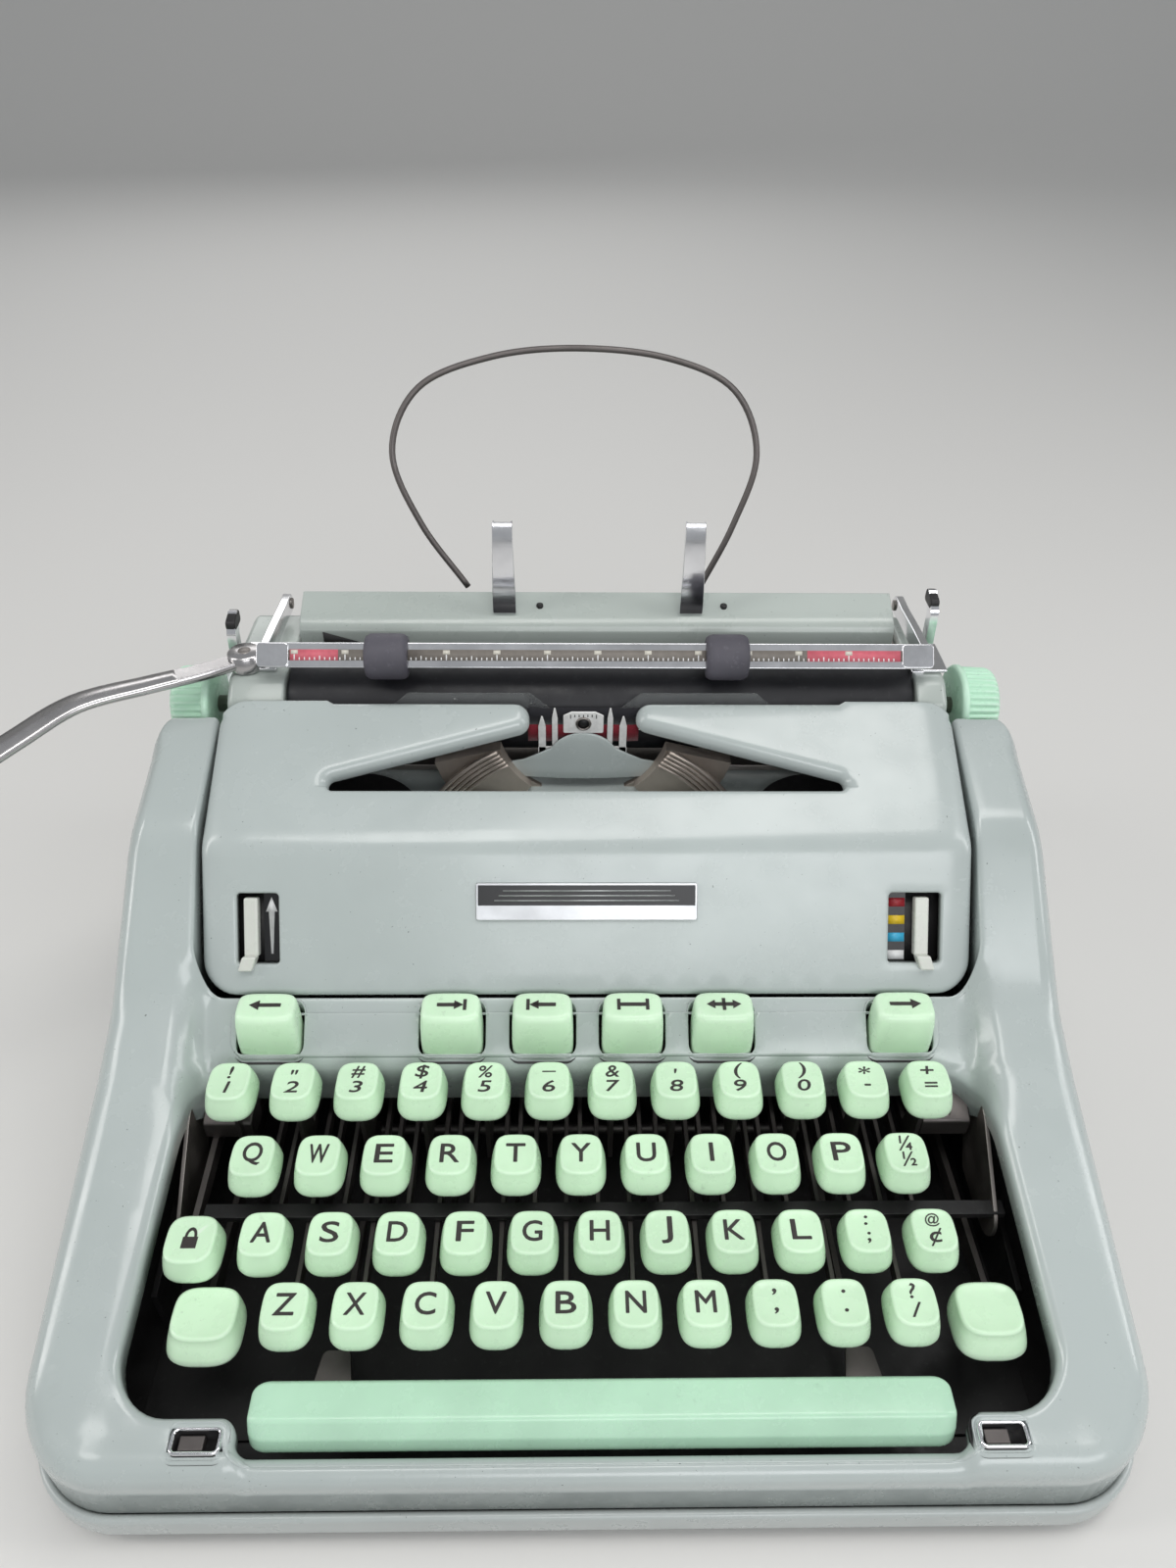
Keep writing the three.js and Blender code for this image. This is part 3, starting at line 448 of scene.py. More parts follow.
def prism_part(points, axis, span):
    """A closed outline of two coordinates carried along axis 'x', 'y' or 'z' over span."""
    def at(a, b, along):
        return {"x": (along, a, b), "y": (a, along, b), "z": (a, b, along)}[axis]
    rows = [[at(a, b, end) for a, b in points] for end in span]
    return grid(rows, close_v=True, cap_start=True, cap_end=True)


def round_part(profile, axis, centre, steps=48, angle=(0, 360)):
    """A body of revolution: profile is (along, radius) pairs about an axis through centre."""
    full = abs(angle[1] - angle[0]) >= 360
    count = steps if full else steps + 1
    rows = []
    for i in range(count):
        turn = math.radians(angle[0] + (angle[1] - angle[0]) * i / steps)
        row = []
        for along, radius in profile:
            a, b = radius * math.cos(turn), radius * math.sin(turn)
            x, y, z = centre
            row.append({"x": (along, y + a, z + b), "y": (x + a, along, z + b),
                        "z": (x + a, y + b, along)}[axis])
        rows.append(row)
    return grid(rows, close_u=full, close_v=False)


def arc(centre, radius, start, end, steps):
    """Points on an arc, angles in degrees; radius may be a pair."""
    ra, rb = radius if isinstance(radius, tuple) else (radius, radius)
    out = []
    for i in range(steps + 1):
        turn = math.radians(start + (end - start) * i / steps)
        out.append((centre[0] + ra * math.cos(turn), centre[1] + rb * math.sin(turn)))
    return out


def rounded_outline(points, radii, steps=6):
    """A closed polygon whose corners are replaced by arcs; radii is one number or one per corner."""
    out = []
    count = len(points)
    for i, corner in enumerate(points):
        radius = radii if isinstance(radii, (int, float)) else radii[i]
        here = Vector(corner)
        before = (Vector(points[i - 1]) - here).normalized()
        after = (Vector(points[(i + 1) % count]) - here).normalized()
        half = math.acos(max(-1, min(1, before.dot(after)))) / 2
        if radius <= 0 or half > math.radians(89):
            out.append(tuple(here))
            continue
        reach = radius / math.tan(half)
        middle = here + (before + after).normalized() * (radius / math.sin(half))
        start = here + before * reach - middle
        end = here + after * reach - middle
        a0 = math.atan2(start.y, start.x)
        turn = math.atan2(end.y, end.x) - a0
        turn = (turn + math.pi) % (2 * math.pi) - math.pi
        for k in range(steps + 1):
            angle = a0 + turn * k / steps
            out.append((middle.x + radius * math.cos(angle), middle.y + radius * math.sin(angle)))
    return out


def resampled(loop, spacing):
    """A closed loop with points added so that none are further apart than spacing."""
    out = []
    for i, a in enumerate(loop):
        b = loop[(i + 1) % len(loop)]
        length = math.hypot(b[0] - a[0], b[1] - a[1])
        if length < 1e-6:
            continue
        parts = max(1, math.ceil(length / spacing))
        out += [(a[0] + (b[0] - a[0]) * k / parts, a[1] + (b[1] - a[1]) * k / parts) for k in range(parts)]
    return out


def signed_area(loop):
    return sum(a[0] * b[1] - b[0] * a[1] for a, b in zip(loop, loop[1:] + loop[:1])) / 2


def offset_loop(loop, distances):
    """The loop with each point moved outwards by its own distance, or inwards if it is negative."""
    side = 1 if signed_area(loop) > 0 else -1
    out = []
    count = len(loop)
    for i, here in enumerate(loop):
        before, after = loop[i - 1], loop[(i + 1) % count]
        first = Vector((here[1] - before[1], before[0] - here[0])).normalized()
        second = Vector((after[1] - here[1], here[0] - after[0])).normalized()
        stretch = max(0.35, (1 + first.dot(second)) / 2) ** 0.5
        normal = (first + second).normalized() / stretch * side
        out.append((here[0] + normal.x * distances[i], here[1] + normal.y * distances[i]))
    return out


def inside(point, loop):
    x, y = point
    odd = False
    for (x0, y0), (x1, y1) in zip(loop, loop[1:] + loop[:1]):
        if (y0 > y) != (y1 > y) and x < x0 + (y - y0) / (y1 - y0) * (x1 - x0):
            odd = not odd
    return odd


def near(point, loop, distance):
    return any((point[0] - x) ** 2 + (point[1] - y) ** 2 < distance ** 2 for x, y in loop)


def pressed_sheet(outer, holes, place, spacing=4.0, rim=2.5, drop=4.0, rounds=5):
    """A sheet with a rolled rim round its outline and round every hole.

    outer and the holes are loops in the sheet's own (u, v). place(u, v, depth) gives the point in
    space; depth goes down from the sheet. The rim turns down by a quarter circle of radius rim
    and then runs straight to depth drop. holes are (loop, rim, drop) triples. Each rim and drop is
    a number or a function of (u, v)."""
    loops = []
    for loop, edge, depth, sign in [(outer, rim, drop, -1)] + [(h, r, d, 1) for h, r, d in holes]:
        loop = resampled(loop, spacing * 0.6)
        edges = [edge(*p) if callable(edge) else edge for p in loop]
        depths = [depth(*p) if callable(depth) else depth for p in loop]
        inner = offset_loop(loop, [sign * e for e in edges])
        loops.append((loop, inner, edges, depths))
    flat = [Vector(p) for _, inner, *_ in loops for p in inner]
    cycles = []
    start = 0
    for _, inner, *_ in loops:
        cycle = list(range(start, start + len(inner)))
        cycles.append(cycle)
        start += len(inner)
    us = [p.x for p in flat]
    vs = [p.y for p in flat]
    columns = int((max(us) - min(us)) / spacing) + 1
    lines = int((max(vs) - min(vs)) / spacing) + 1
    for i in range(columns):
        for j in range(lines):
            point = (min(us) + (i + 0.5) * spacing, min(vs) + (j + 0.5) * spacing)
            if not inside(point, loops[0][1]) or any(inside(point, item[1]) for item in loops[1:]):
                continue
            if not any(near(point, item[1], spacing * 0.55) for item in loops):
                flat.append(Vector(point))
    edges2 = [(a, b) for cycle in cycles for a, b in zip(cycle, cycle[1:] + cycle[:1])]
    verts2, _, faces, *_ = delaunay_2d_cdt(flat, edges2, [], 0, 1e-5)
    kept = []
    for face in faces:
        middle = sum((verts2[i] for i in face), Vector((0, 0))) / len(face)
        if inside(middle, loops[0][1]) and not any(inside(middle, item[1]) for item in loops[1:]):
            kept.append(tuple(face))
    verts = [place(p.x, p.y, 0.0) for p in verts2]
    for loop, inner, edges, depths in loops:
        rows = []
        for k in range(rounds + 1):
            out = math.sin(math.pi / 2 * k / rounds)
            down = 1 - math.cos(math.pi / 2 * k / rounds)
            rows.append([place(a[0] + (b[0] - a[0]) * out, a[1] + (b[1] - a[1]) * out, e * down)
                         for a, b, e in zip(inner, loop, edges)])
        rows.append([place(*p, max(depth, e)) for p, depth, e in zip(loop, depths, edges)])
        part_verts, part_faces = grid(rows, close_v=True)
        kept += [tuple(i + len(verts) for i in face) for face in part_faces]
        verts += part_verts
    return verts, kept


def swept(path, section, up=(0, 0, 1), caps=True):
    """A section of (across, up) points carried along a path; section may be a function of 0..1."""
    rows = []
    count = len(path)
    for i, p in enumerate(path):
        before, after = path[max(i - 1, 0)], path[min(i + 1, count - 1)]
        along = (Vector(after) - Vector(before)).normalized()
        across = along.cross(Vector(up)).normalized()
        rise = across.cross(along).normalized()
        shape = section(i / (count - 1)) if callable(section) else section
        rows.append([tuple(Vector(p) + across * a + rise * b) for a, b in shape])
    return grid(rows, close_v=True, cap_start=caps, cap_end=caps)


def smooth_path(points, steps):
    """A Catmull-Rom curve through points in space."""
    pts = [Vector(p) for p in points]
    pts = [pts[0] * 2 - pts[1], *pts, pts[-1] * 2 - pts[-2]]
    out = []
    for i in range(1, len(pts) - 2):
        p0, p1, p2, p3 = pts[i - 1:i + 3]
        for k in range(steps):
            t = k / steps
            out.append(0.5 * (2 * p1 + (p2 - p0) * t + (2 * p0 - 5 * p1 + 4 * p2 - p3) * t * t
                              + (3 * p1 - 3 * p2 + p3 - p0) * t ** 3))
    out.append(pts[-2])
    return [tuple(p) for p in out]


def bent(part, change):
    verts, faces = part
    return [change(*v) for v in verts], faces


def interpolate(table, at):
    """Piecewise linear interpolation in a list of (x, value) pairs."""
    if at <= table[0][0]:
        return table[0][1]
    for (x0, v0), (x1, v1) in zip(table, table[1:]):
        if at <= x1:
            return v0 + (v1 - v0) * (at - x0) / (x1 - x0)
    return table[-1][1]


def finish(node, material):
    """Gives a carried-over CAD node its Blender material."""
    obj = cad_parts[node]
    obj.data.materials.clear()
    obj.data.materials.append(MATERIALS[material])


# ---- base tray and feet -------------------------------------------------------------------

TRAY_HIGH = node_box("base_tray")[1]
TRAY_HALF = TRAY_HIGH.x
TRAY_DEPTH = TRAY_HIGH.y
TRAY_HEIGHT = TRAY_HIGH.z
TRAY_CORNER = 28


def tray_loop(inset, steps=14):
    """The tray's rounded rectangle, moved in by inset."""
    half = TRAY_HALF - inset
    corners = [(-half, inset), (half, inset), (half, TRAY_DEPTH - inset), (-half, TRAY_DEPTH - inset)]
    return rounded_outline(corners, max(TRAY_CORNER - inset, 1), steps)


def build_base():
    edge = 4.5
    lip = 1.4
    wall = 2.6
    floor = 2.5
    profile = [(12, 0.0)]
    profile += [(edge - edge * math.sin(a), edge - edge * math.cos(a))
                for a in (math.pi / 2 * k / 6 for k in range(7))]
    profile += [(0.0, TRAY_HEIGHT - lip)]
    profile += [(lip - lip * math.cos(a), TRAY_HEIGHT - lip + lip * math.sin(a))
                for a in (math.pi * k / 8 for k in range(1, 9))]
    profile += [(wall, floor + 2), (wall + 2, floor)]
    rows = [[(x, y, z) for x, y in tray_loop(inset)] for inset, z in profile]
    verts, faces = grid(rows, close_v=True, cap_start=True, cap_end=True)
    piece("base_tray", verts, faces, "enamel_worn", "frame", ["base_tray"], "enamel")
    mat_top = 0.4
    rows = [[(x, y, z) for x, y in tray_loop(inset)]
            for inset, z in ((5, floor + 0.05), (5, floor + mat_top - 0.1), (5.4, floor + mat_top))]
    verts, faces = grid(rows, close_v=True, cap_start=True, cap_end=True)
    piece("felt_mat", verts, faces, "black_paint", "frame", slot="black_metal")
    for place in ("front_left", "front_right", "back_left", "back_right"):
        node = "rubber_foot_" + place
        low, high = node_box(node)
        radius = (high.x - low.x) / 2
        centre = ((low.x + high.x) / 2, (low.y + high.y) / 2, 0)
        profile = [(low.z, 0.0), (low.z, 3.0), (low.z + 0.8, 3.6), (low.z + 0.8, 4.4), (low.z, 5.0),
                   (low.z, radius - 1.4), (low.z + 0.5, radius - 0.4), (low.z + 1.4, radius),
                   (-0.2, radius), (0.2, radius - 0.6), (high.z, radius - 0.6), (high.z, 0.0)]
        verts, faces = round_part(profile, "z", centre, 40)
        piece(node, verts, faces, "foot_rubber", "frame", [node], "platen_rubber")


# ---- main housing -------------------------------------------------------------------------

HOUSING_LOW, HOUSING_HIGH = node_box("main_housing")
HOUSING_HALF = HOUSING_HIGH.x
HOUSING_FRONT = HOUSING_LOW.y
HOUSING_BACK = HOUSING_HIGH.y
HOUSING_FOOT = HOUSING_LOW.z
HOUSING_CORNER = TRAY_CORNER - (TRAY_HALF - HOUSING_HALF)
SIDE_LEAN = 0.09
LEAN_START = 37
SHOULDER_BACK = 205.6
REAR_DECK_Z = 112
LEAN_EDGE = 138
WELL_DIP = 0.8
WELL_DIP_START = 86
DECK_DIP_END = 127
DECK_DIP_REACH = 9
WELL_RIDGE = 5.5
LOUVRE_ROWS = 5
LOUVRE_FOOT = 48
LOUVRE_PITCH = 9
LOUVRE_CENTRE = 52
LOUVRE_HALF = 34
SIDE_PLATE_X = 127.0
BRACKET_X = 117.0

RAIL_LINE = [(0, 35.8), (13, 37), (105.6, 76), (124, 86), (153, 116), (163, 126.5), (204.5, 140.5),
             (300, 140.5)]
DECK_FRONT = 111.6
DECK_FRONT_Z = 67.0
DECK_SLOPE = 0.88
RIDGE = 131.5
RIDGE_WIDTH = 7.5
STRIP_DROP = 3.6
COVER_HIGH = node_box("ribbon_cover")[1]
COVER_HALF = COVER_HIGH.x
COVER_BAY = COVER_HALF + 1.5
COVER_BAY_FRONT = 128.6

WELL_FRONT = 17.5
WELL_FRONT_HALF = 134
WELL_BACK_HALF = 125.3
SPACE_LOW, SPACE_HIGH = node_box("space_bar")
NOTCH = (-97.6, 104.2)
NOTCH_FRONT = 9.2
LATCHES = ("lid_latch_left", "lid_latch_right")
FUNCTION_KEYS = ["function_key_" + name for name in (
    "backspace", "tab_set", "tab_clear", "clear_all", "margin_release", "tabulator")]


def ease(t):
    t = max(0.0, min(1.0, t))
    return t * t * (3 - 2 * t)


def rail_height(y):
    """Top of the side rails and shoulders, with its bends rounded."""
    reach = 4.5
    samples = [interpolate(RAIL_LINE, y + reach * k / 3) for k in range(-3, 4)]
    return sum(samples) / len(samples)


def well_half(y):
    return WELL_FRONT_HALF + (WELL_BACK_HALF - WELL_FRONT_HALF) * ease_line(y, WELL_FRONT, DECK_FRONT)


def ease_line(y, start, end):
    return max(0.0, min(1.0, (y - start) / (end - start)))


def housing_height(x, y):
    """The pressed top: rails, shoulders, the sunk deck between them and the low front strip."""
    top = rail_height(y)
    deck = DECK_FRONT_Z + DECK_SLOPE * (y - DECK_FRONT)
    if y < DECK_FRONT:
        along = (y - WELL_DIP_START) / (DECK_FRONT - WELL_DIP_START)
        dip = (rail_height(DECK_FRONT) - DECK_FRONT_Z) * ease(along) + WELL_DIP
        ridge = well_half(y) + WELL_RIDGE
    else:
        dip = (top - deck) * (1 - ease((y - DECK_DIP_END) / DECK_DIP_REACH))
        ridge = RIDGE
    height = top - dip * (1 - ease((abs(x) - ridge + RIDGE_WIDTH) / RIDGE_WIDTH))
    if y < WELL_FRONT:
        soft = 5.0
        sunk = ease((x - NOTCH[0] + 1) / soft) * ease((NOTCH[1] + 1 - x) / soft)
        height -= STRIP_DROP * sunk
    return height


def lean(x, z):
    """Moves the outer sides in as they rise."""
    share = ease((abs(x) - LEAN_EDGE) / (HOUSING_HALF - LEAN_EDGE))
    inward = SIDE_LEAN * max(z - LEAN_START, 0) * share
    return x - math.copysign(inward, x)


def housing_point(x, y, depth):
    z = max(housing_height(x, y) - depth, HOUSING_FOOT)
    return (lean(x, z), y, z)


def housing_outline():
    """The outside of the front part, running in round the ribbon cover's bay."""
    bay = COVER_BAY
    corners = [
        (-HOUSING_HALF, HOUSING_FRONT), (HOUSING_HALF, HOUSING_FRONT), (HOUSING_HALF, SHOULDER_BACK),
        (bay, SHOULDER_BACK), (bay, COVER_BAY_FRONT), (-bay, COVER_BAY_FRONT), (-bay, SHOULDER_BACK),
        (-HOUSING_HALF, SHOULDER_BACK),
    ]
    radii = [HOUSING_CORNER, HOUSING_CORNER, 12, 2.2, 9, 9, 2.2, 12]
    return rounded_outline(corners, radii, 12)


def outline_rim(x, y):
    """Radius of the rolled edge: full outside, small round the cover's bay."""
    if abs(x) > COVER_BAY + 4 and y < SHOULDER_BACK - 14:
        return 9.0 - 2.6 * ease((14 - y) / 10) - 2.4 * ease((x - NOTCH[0]) / 6) * ease((NOTCH[1] - x) / 6)
    if y < WELL_FRONT:
        return 6.4 - 2.4 * ease((x - NOTCH[0]) / 6) * ease((NOTCH[1] - x) / 6)
    if abs(x) > COVER_BAY + 4:
        return 9.0 - 6.6 * ease((y - SHOULDER_BACK + 14) / 13)
    return 2.0


def outline_drop(x, y):
    if abs(x) > COVER_BAY + 1 and y > WELL_FRONT or y < WELL_FRONT:
        return 200.0
    return 34.0 if abs(x) > COVER_BAY - 12 else 14.0


def well_outline():
    corners = [
        (NOTCH[0], NOTCH_FRONT), (NOTCH[1], NOTCH_FRONT), (NOTCH[1], WELL_FRONT),
        (WELL_FRONT_HALF, WELL_FRONT),
        (WELL_BACK_HALF, DECK_FRONT), (-WELL_BACK_HALF, DECK_FRONT), (-WELL_FRONT_HALF, WELL_FRONT),
        (NOTCH[0], WELL_FRONT),
    ]
    return rounded_outline(corners, [3.2, 3.2, 4.4, 15, 14, 14, 15, 4.4], 10)


def well_drop(x, y):
    back = ease((y - 92) / 16)
    return 8.5 + 7.0 * back - 2.5 * ease((24 - y) / 8)


def slot_outline(node, clear, radius):
    low, high = node_box(node)
    corners = [(low.x - clear, low.y - clear), (high.x + clear, low.y - clear),
               (high.x + clear, high.y + clear), (low.x - clear, high.y + clear)]
    return rounded_outline(corners, radius, 5)


def build_housing():
    holes = [(well_outline(), 3.0, well_drop)]
    holes += [(slot_outline(node, 0.5, 2.2), 0.5, 3.0) for node in LATCHES]
    holes += [(slot_outline(node, 0.9, 3.0), 0.6, 4.0) for node in FUNCTION_KEYS]
    verts, faces = pressed_sheet(
        housing_outline(), holes, housing_point, spacing=3.0, rim=outline_rim, drop=outline_drop, rounds=7)
    shell = piece("main_housing", verts, faces, "enamel", "frame", ["main_housing"], "enamel",
                  materials=["black_paint"], sheet=True)
    thicken(shell, 1.3)
    shell.modifiers["sheet"].material_offset = 1
    build_housing_rear()
    build_function_panel()
    for node in LATCHES:
        build_latch(node)


def build_housing_rear():
    """The closed rear of the housing under the carriage, with louvres in its back."""
    edge = 9.0
    front = SHOULDER_BACK - 22

    def loop(inset):
        half = HOUSING_HALF - 0.1 - inset
        back = HOUSING_BACK - inset
        corners = [(-half, front), (half, front), (half, back), (-half, back)]
        return rounded_outline(corners, [0.5, 0.5, HOUSING_CORNER - inset, HOUSING_CORNER - inset], 12)

    rows = []
    for z in (HOUSING_FOOT, LEAN_START, REAR_DECK_Z - edge):
        rows.append([(lean(x, z), y, z) for x, y in loop(0)])
    for k in range(1, 9):
        turn = math.pi / 2 * k / 8
        z = REAR_DECK_Z - edge + edge * math.sin(turn)
        rows.append([(lean(x, z), y, z) for x, y in loop(edge * (1 - math.cos(turn)))])
    verts, faces = grid(rows, close_v=True, cap_end=True)
    piece("housing_rear", verts, faces, "enamel", "frame", slot="enamel")
    parts = []
    for row in range(LOUVRE_ROWS):
        for side in (-1, 1):
            z = LOUVRE_FOOT + row * LOUVRE_PITCH
            x = (side * LOUVRE_CENTRE - LOUVRE_HALF, side * LOUVRE_CENTRE + LOUVRE_HALF)
            profile = [(HOUSING_BACK - 0.6, z), (HOUSING_BACK + 0.9, z + 0.6), (HOUSING_BACK + 1.3, z + 2.0),
                       (HOUSING_BACK + 0.7, z + 3.6), (HOUSING_BACK - 0.6, z + 5.4)]
            parts.append(prism_part(profile, "x", x))
    louvres = piece("rear_louvres", *merged(*parts), "enamel", "frame", slot="enamel")
    bevel(louvres, 0.5, 3)


def build_function_panel():
    """The thin plate round the function keys, lying on the deck."""
    front, back = DECK_FRONT + 2.3, COVER_BAY_FRONT - 4.2
    corners = [(-116.4, front), (115.0, front), (115.0, back), (-116.4, back)]
    outline = rounded_outline(corners, [4.5, 4.5, 1.5, 1.5], 8)
    raised = 0.7

    def place(x, y, depth):
        return (x, y, DECK_FRONT_Z + DECK_SLOPE * (y - DECK_FRONT) + raised - depth)

    holes = [(slot_outline(node, 0.9, 3.0), 0.4, 1.0) for node in FUNCTION_KEYS]
    verts, faces = pressed_sheet(outline, holes, place, spacing=4.0, rim=0.4, drop=1.0, rounds=3)
    panel = piece("function_panel", verts, faces, "enamel", "frame", slot="enamel", sheet=True)
    thicken(panel, 0.5)


def build_latch(node):
    """A chromed socket for the lid: a raised frame round a dark well with its slider."""
    low, high = node_box(node)
    centre = Vector(((low.x + high.x) / 2, (low.y + high.y) / 2))
    top = housing_height(centre.x, centre.y) + 0.9
    half = Vector(((high.x - low.x) / 2, (high.y - low.y) / 2))

    def loop(inset, z):
        corners = [(centre.x + sx * (half.x - inset), centre.y + sy * (half.y - inset))
                   for sx, sy in ((-1, -1), (1, -1), (1, 1), (-1, 1))]
        return [(x, y, z) for x, y in rounded_outline(corners, max(2.0 - inset, 0.4), 6)]

    rows = [loop(0, top - 9), loop(0, top - 0.5), loop(0.2, top - 0.1), loop(0.5, top), loop(0.9, top - 0.1),
            loop(1.1, top - 0.5), loop(1.1, top - 4.0)]
    verts, faces = grid(rows, close_v=True, cap_end=True, cap_start=True)
    piece(node, verts, faces, "chrome", "frame", [node], "chrome", materials=["black_paint"],
          pick=lambda middle: int(middle.z < top - 2 and abs(middle.x - centre.x) < half.x - 1.0))
    slider = box_part((centre.x - half.x + 2, centre.x + half.x - 5),
                      (centre.y - half.y + 1.6, centre.y + half.y - 1.6),
                      (top - 3.9, top - 1.6))
    bevel(piece(node + "_slider", *slider, "lever_steel", "frame", slot="steel"), 0.5, 3)


# ---- inside of the keyboard well ----------------------------------------------------------


def build_chassis():
    for node, material in (("chassis", "black_paint"), ("key_pivot_rod", "steel"),
                           ("keyboard_crossbar", "black_paint"), ("carriage_rail", "steel"),
                           ("mainspring_drum", "steel")):
        finish(node, material)
        soften(node, 0.25)
    for side in (-1, 1):
        build_well_bracket(side)


def soften(node, width, angle=40):
    """Rounds the sharp edges of a carried-over CAD node."""
    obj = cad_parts[node]
    weld = obj.modifiers.new("weld", "WELD")
    weld.merge_threshold = 1e-5
    bevel(obj, width, 2, angle)


def build_well_bracket(side):
    """The curved steel plate and screwed bracket at the side of the keyboard well."""
    name = "right" if side > 0 else "left"
    outline = rounded_outline([(52, 30), (98, 30), (112, 50), (112, 62), (98, 62)], [8, 4, 4, 4, 16], 8)
    x = side * SIDE_PLATE_X
    plate = prism_part(outline, "x", (x - 0.7, x + 0.7))
    bevel(piece(f"well_side_plate_{name}", *plate, "steel", "frame", slot="steel"), 0.3, 2)
    middle = side * BRACKET_X
    block = prism_part(rounded_outline([(100, 45), (110.8, 45), (110.8, 57), (100, 53)], 1.5, 4), "x",
                       (middle - 8, middle + 8))
    bevel(piece(f"well_bracket_{name}", *block, "lever_steel", "frame", slot="steel"), 0.6, 3)
    head = [(0.0, 0.0), (0.0, 3.2), (0.7, 3.0), (1.2, 2.2), (1.3, 0.7), (0.6, 0.6), (0.6, 0.0)]
    verts, faces = round_part([(53.0 + along, radius) for along, radius in head], "z", (middle, 104.5, 0), 24)
    piece(f"well_screw_{name}", verts, faces, "steel", "frame", slot="steel")


# ---- ribbon cover -------------------------------------------------------------------------

FACE_FOOT = (127.5, 83.0)
COVER_REAR = (204.5, COVER_HIGH.z)
FACE_SLOPE = math.radians(55.3)
TOP_SLOPE = math.radians(26.1)
CREASE_RADIUS = 13.0
OPENING_FRONT = 173.6
OPENING_HALF = 87.0
LEFT_WINDOW = (-114.3, -100.7)
RIGHT_WINDOW = (98.2, 115.5)
WINDOW_Y = (133.6, 146.8)
WING_ROOT_Y = 177.6
WING_TIP_Y = 195.0
COVER_BOW = 1.4
BOW_REACH = 16
COVER_SHEET = 1.1


def crease_corner():
    """Where the front face and the top would meet in a sharp corner."""
    y0, z0 = FACE_FOOT
    y1, z1 = COVER_REAR
    face, top = math.tan(FACE_SLOPE), math.tan(TOP_SLOPE)
    y = (z1 - z0 + face * y0 - top * y1) / (face - top)
    return y, z0 + face * (y - y0)


CREASE = crease_corner()
CREASE_TANGENT = CREASE_RADIUS * math.tan((FACE_SLOPE - TOP_SLOPE) / 2)
FACE_LENGTH = math.dist(FACE_FOOT, CREASE) - CREASE_TANGENT
CREASE_LENGTH = CREASE_RADIUS * (FACE_SLOPE - TOP_SLOPE)
TOP_LENGTH = math.dist(CREASE, COVER_REAR) - CREASE_TANGENT
COVER_LENGTH = FACE_LENGTH + CREASE_LENGTH + TOP_LENGTH


def cover_line(s):
    """Point (y, z) and slope of the cover at distance s up from its foot."""
    if s <= FACE_LENGTH:
        return (FACE_FOOT[0] + s * math.cos(FACE_SLOPE), FACE_FOOT[1] + s * math.sin(FACE_SLOPE)), FACE_SLOPE
    if s >= FACE_LENGTH + CREASE_LENGTH:
        left = COVER_LENGTH - s
        return (COVER_REAR[0] - left * math.cos(TOP_SLOPE),
                COVER_REAR[1] - left * math.sin(TOP_SLOPE)), TOP_SLOPE
    start, _ = cover_line(FACE_LENGTH)
    slope = FACE_SLOPE - (s - FACE_LENGTH) / CREASE_RADIUS
    y = start[0] + CREASE_RADIUS * (math.sin(FACE_SLOPE) - math.sin(slope))
    z = start[1] + CREASE_RADIUS * (math.cos(slope) - math.cos(FACE_SLOPE))
    return (y, z), slope


def cover_along(y):
    """Distance up the cover at which it reaches y."""
    low, high = 0.0, COVER_LENGTH
    for _ in range(40):
        middle = (low + high) / 2
        if cover_line(middle)[0][0] < y:
            low = middle
        else:
            high = middle
    return low


def cover_point(x, s, depth):
    """A point on the cover, which bows down a little towards its side edges."""
    (y, z), slope = cover_line(s)
    bow = COVER_BOW * ease((abs(x) - COVER_HALF + BOW_REACH) / BOW_REACH) ** 2
    down = depth + bow
    return (x, min(COVER_REAR[0], y + down * math.sin(slope)), z - down * math.cos(slope))


def cover_outline():
    """The cover's edge in (x, distance up), running in round the opening between its two wings."""
    front = cover_along(OPENING_FRONT)
    wing_root = cover_along(WING_ROOT_Y)
    wing_tip = cover_along(WING_TIP_Y)
    rear = COVER_LENGTH
    corners = [
        (-COVER_HALF, 0), (COVER_HALF, 0), (COVER_HALF, rear), (16.6, rear), (16.6, wing_tip + 1),
        (OPENING_HALF - 1, wing_root), (OPENING_HALF - 1, front), (-OPENING_HALF, front),
        (-OPENING_HALF, wing_root), (-20.2, wing_tip), (-20.2, rear), (-COVER_HALF, rear),
    ]
    return rounded_outline(corners, [11, 11, 9, 5.5, 5.0, 2.4, 2.0, 2.0, 2.4, 5.0, 5.5, 9], 9)


def cover_rim(x, s):
    if abs(x) > COVER_HALF - 1:
        return 4.2
    if s < 14:
        return 2.6 + 1.6 * ease((abs(x) - COVER_HALF + BOW_REACH) / BOW_REACH)
    if abs(x) < OPENING_HALF + 1 and s > cover_along(OPENING_FRONT) + 1.5:
        return 4.4
    return 1.6


def cover_drop(x, s):
    if s < 14 and abs(x) < COVER_HALF - 8:
        return 3.4
    return 7.0 if abs(x) > COVER_HALF - 8 else 5.0


def window_outline(x):
    s0, s1 = cover_along(WINDOW_Y[0]), cover_along(WINDOW_Y[1])
    corners = [(x[0], s0), (x[1], s0), (x[1], s1), (x[0], s1)]
    return rounded_outline(corners, 1.3, 5)


def on_face(part, x, s, raised=0.0):
    """Moves a part made flat, with y up the face and z out of it, onto the cover's front face."""
    (y0, z0), slope = cover_line(s)
    cos, sin = math.cos(slope), math.sin(slope)
    return bent(part, lambda px, py, pz: (
        x + px, y0 + py * cos - (pz + raised) * sin, z0 + py * sin + (pz + raised) * cos))


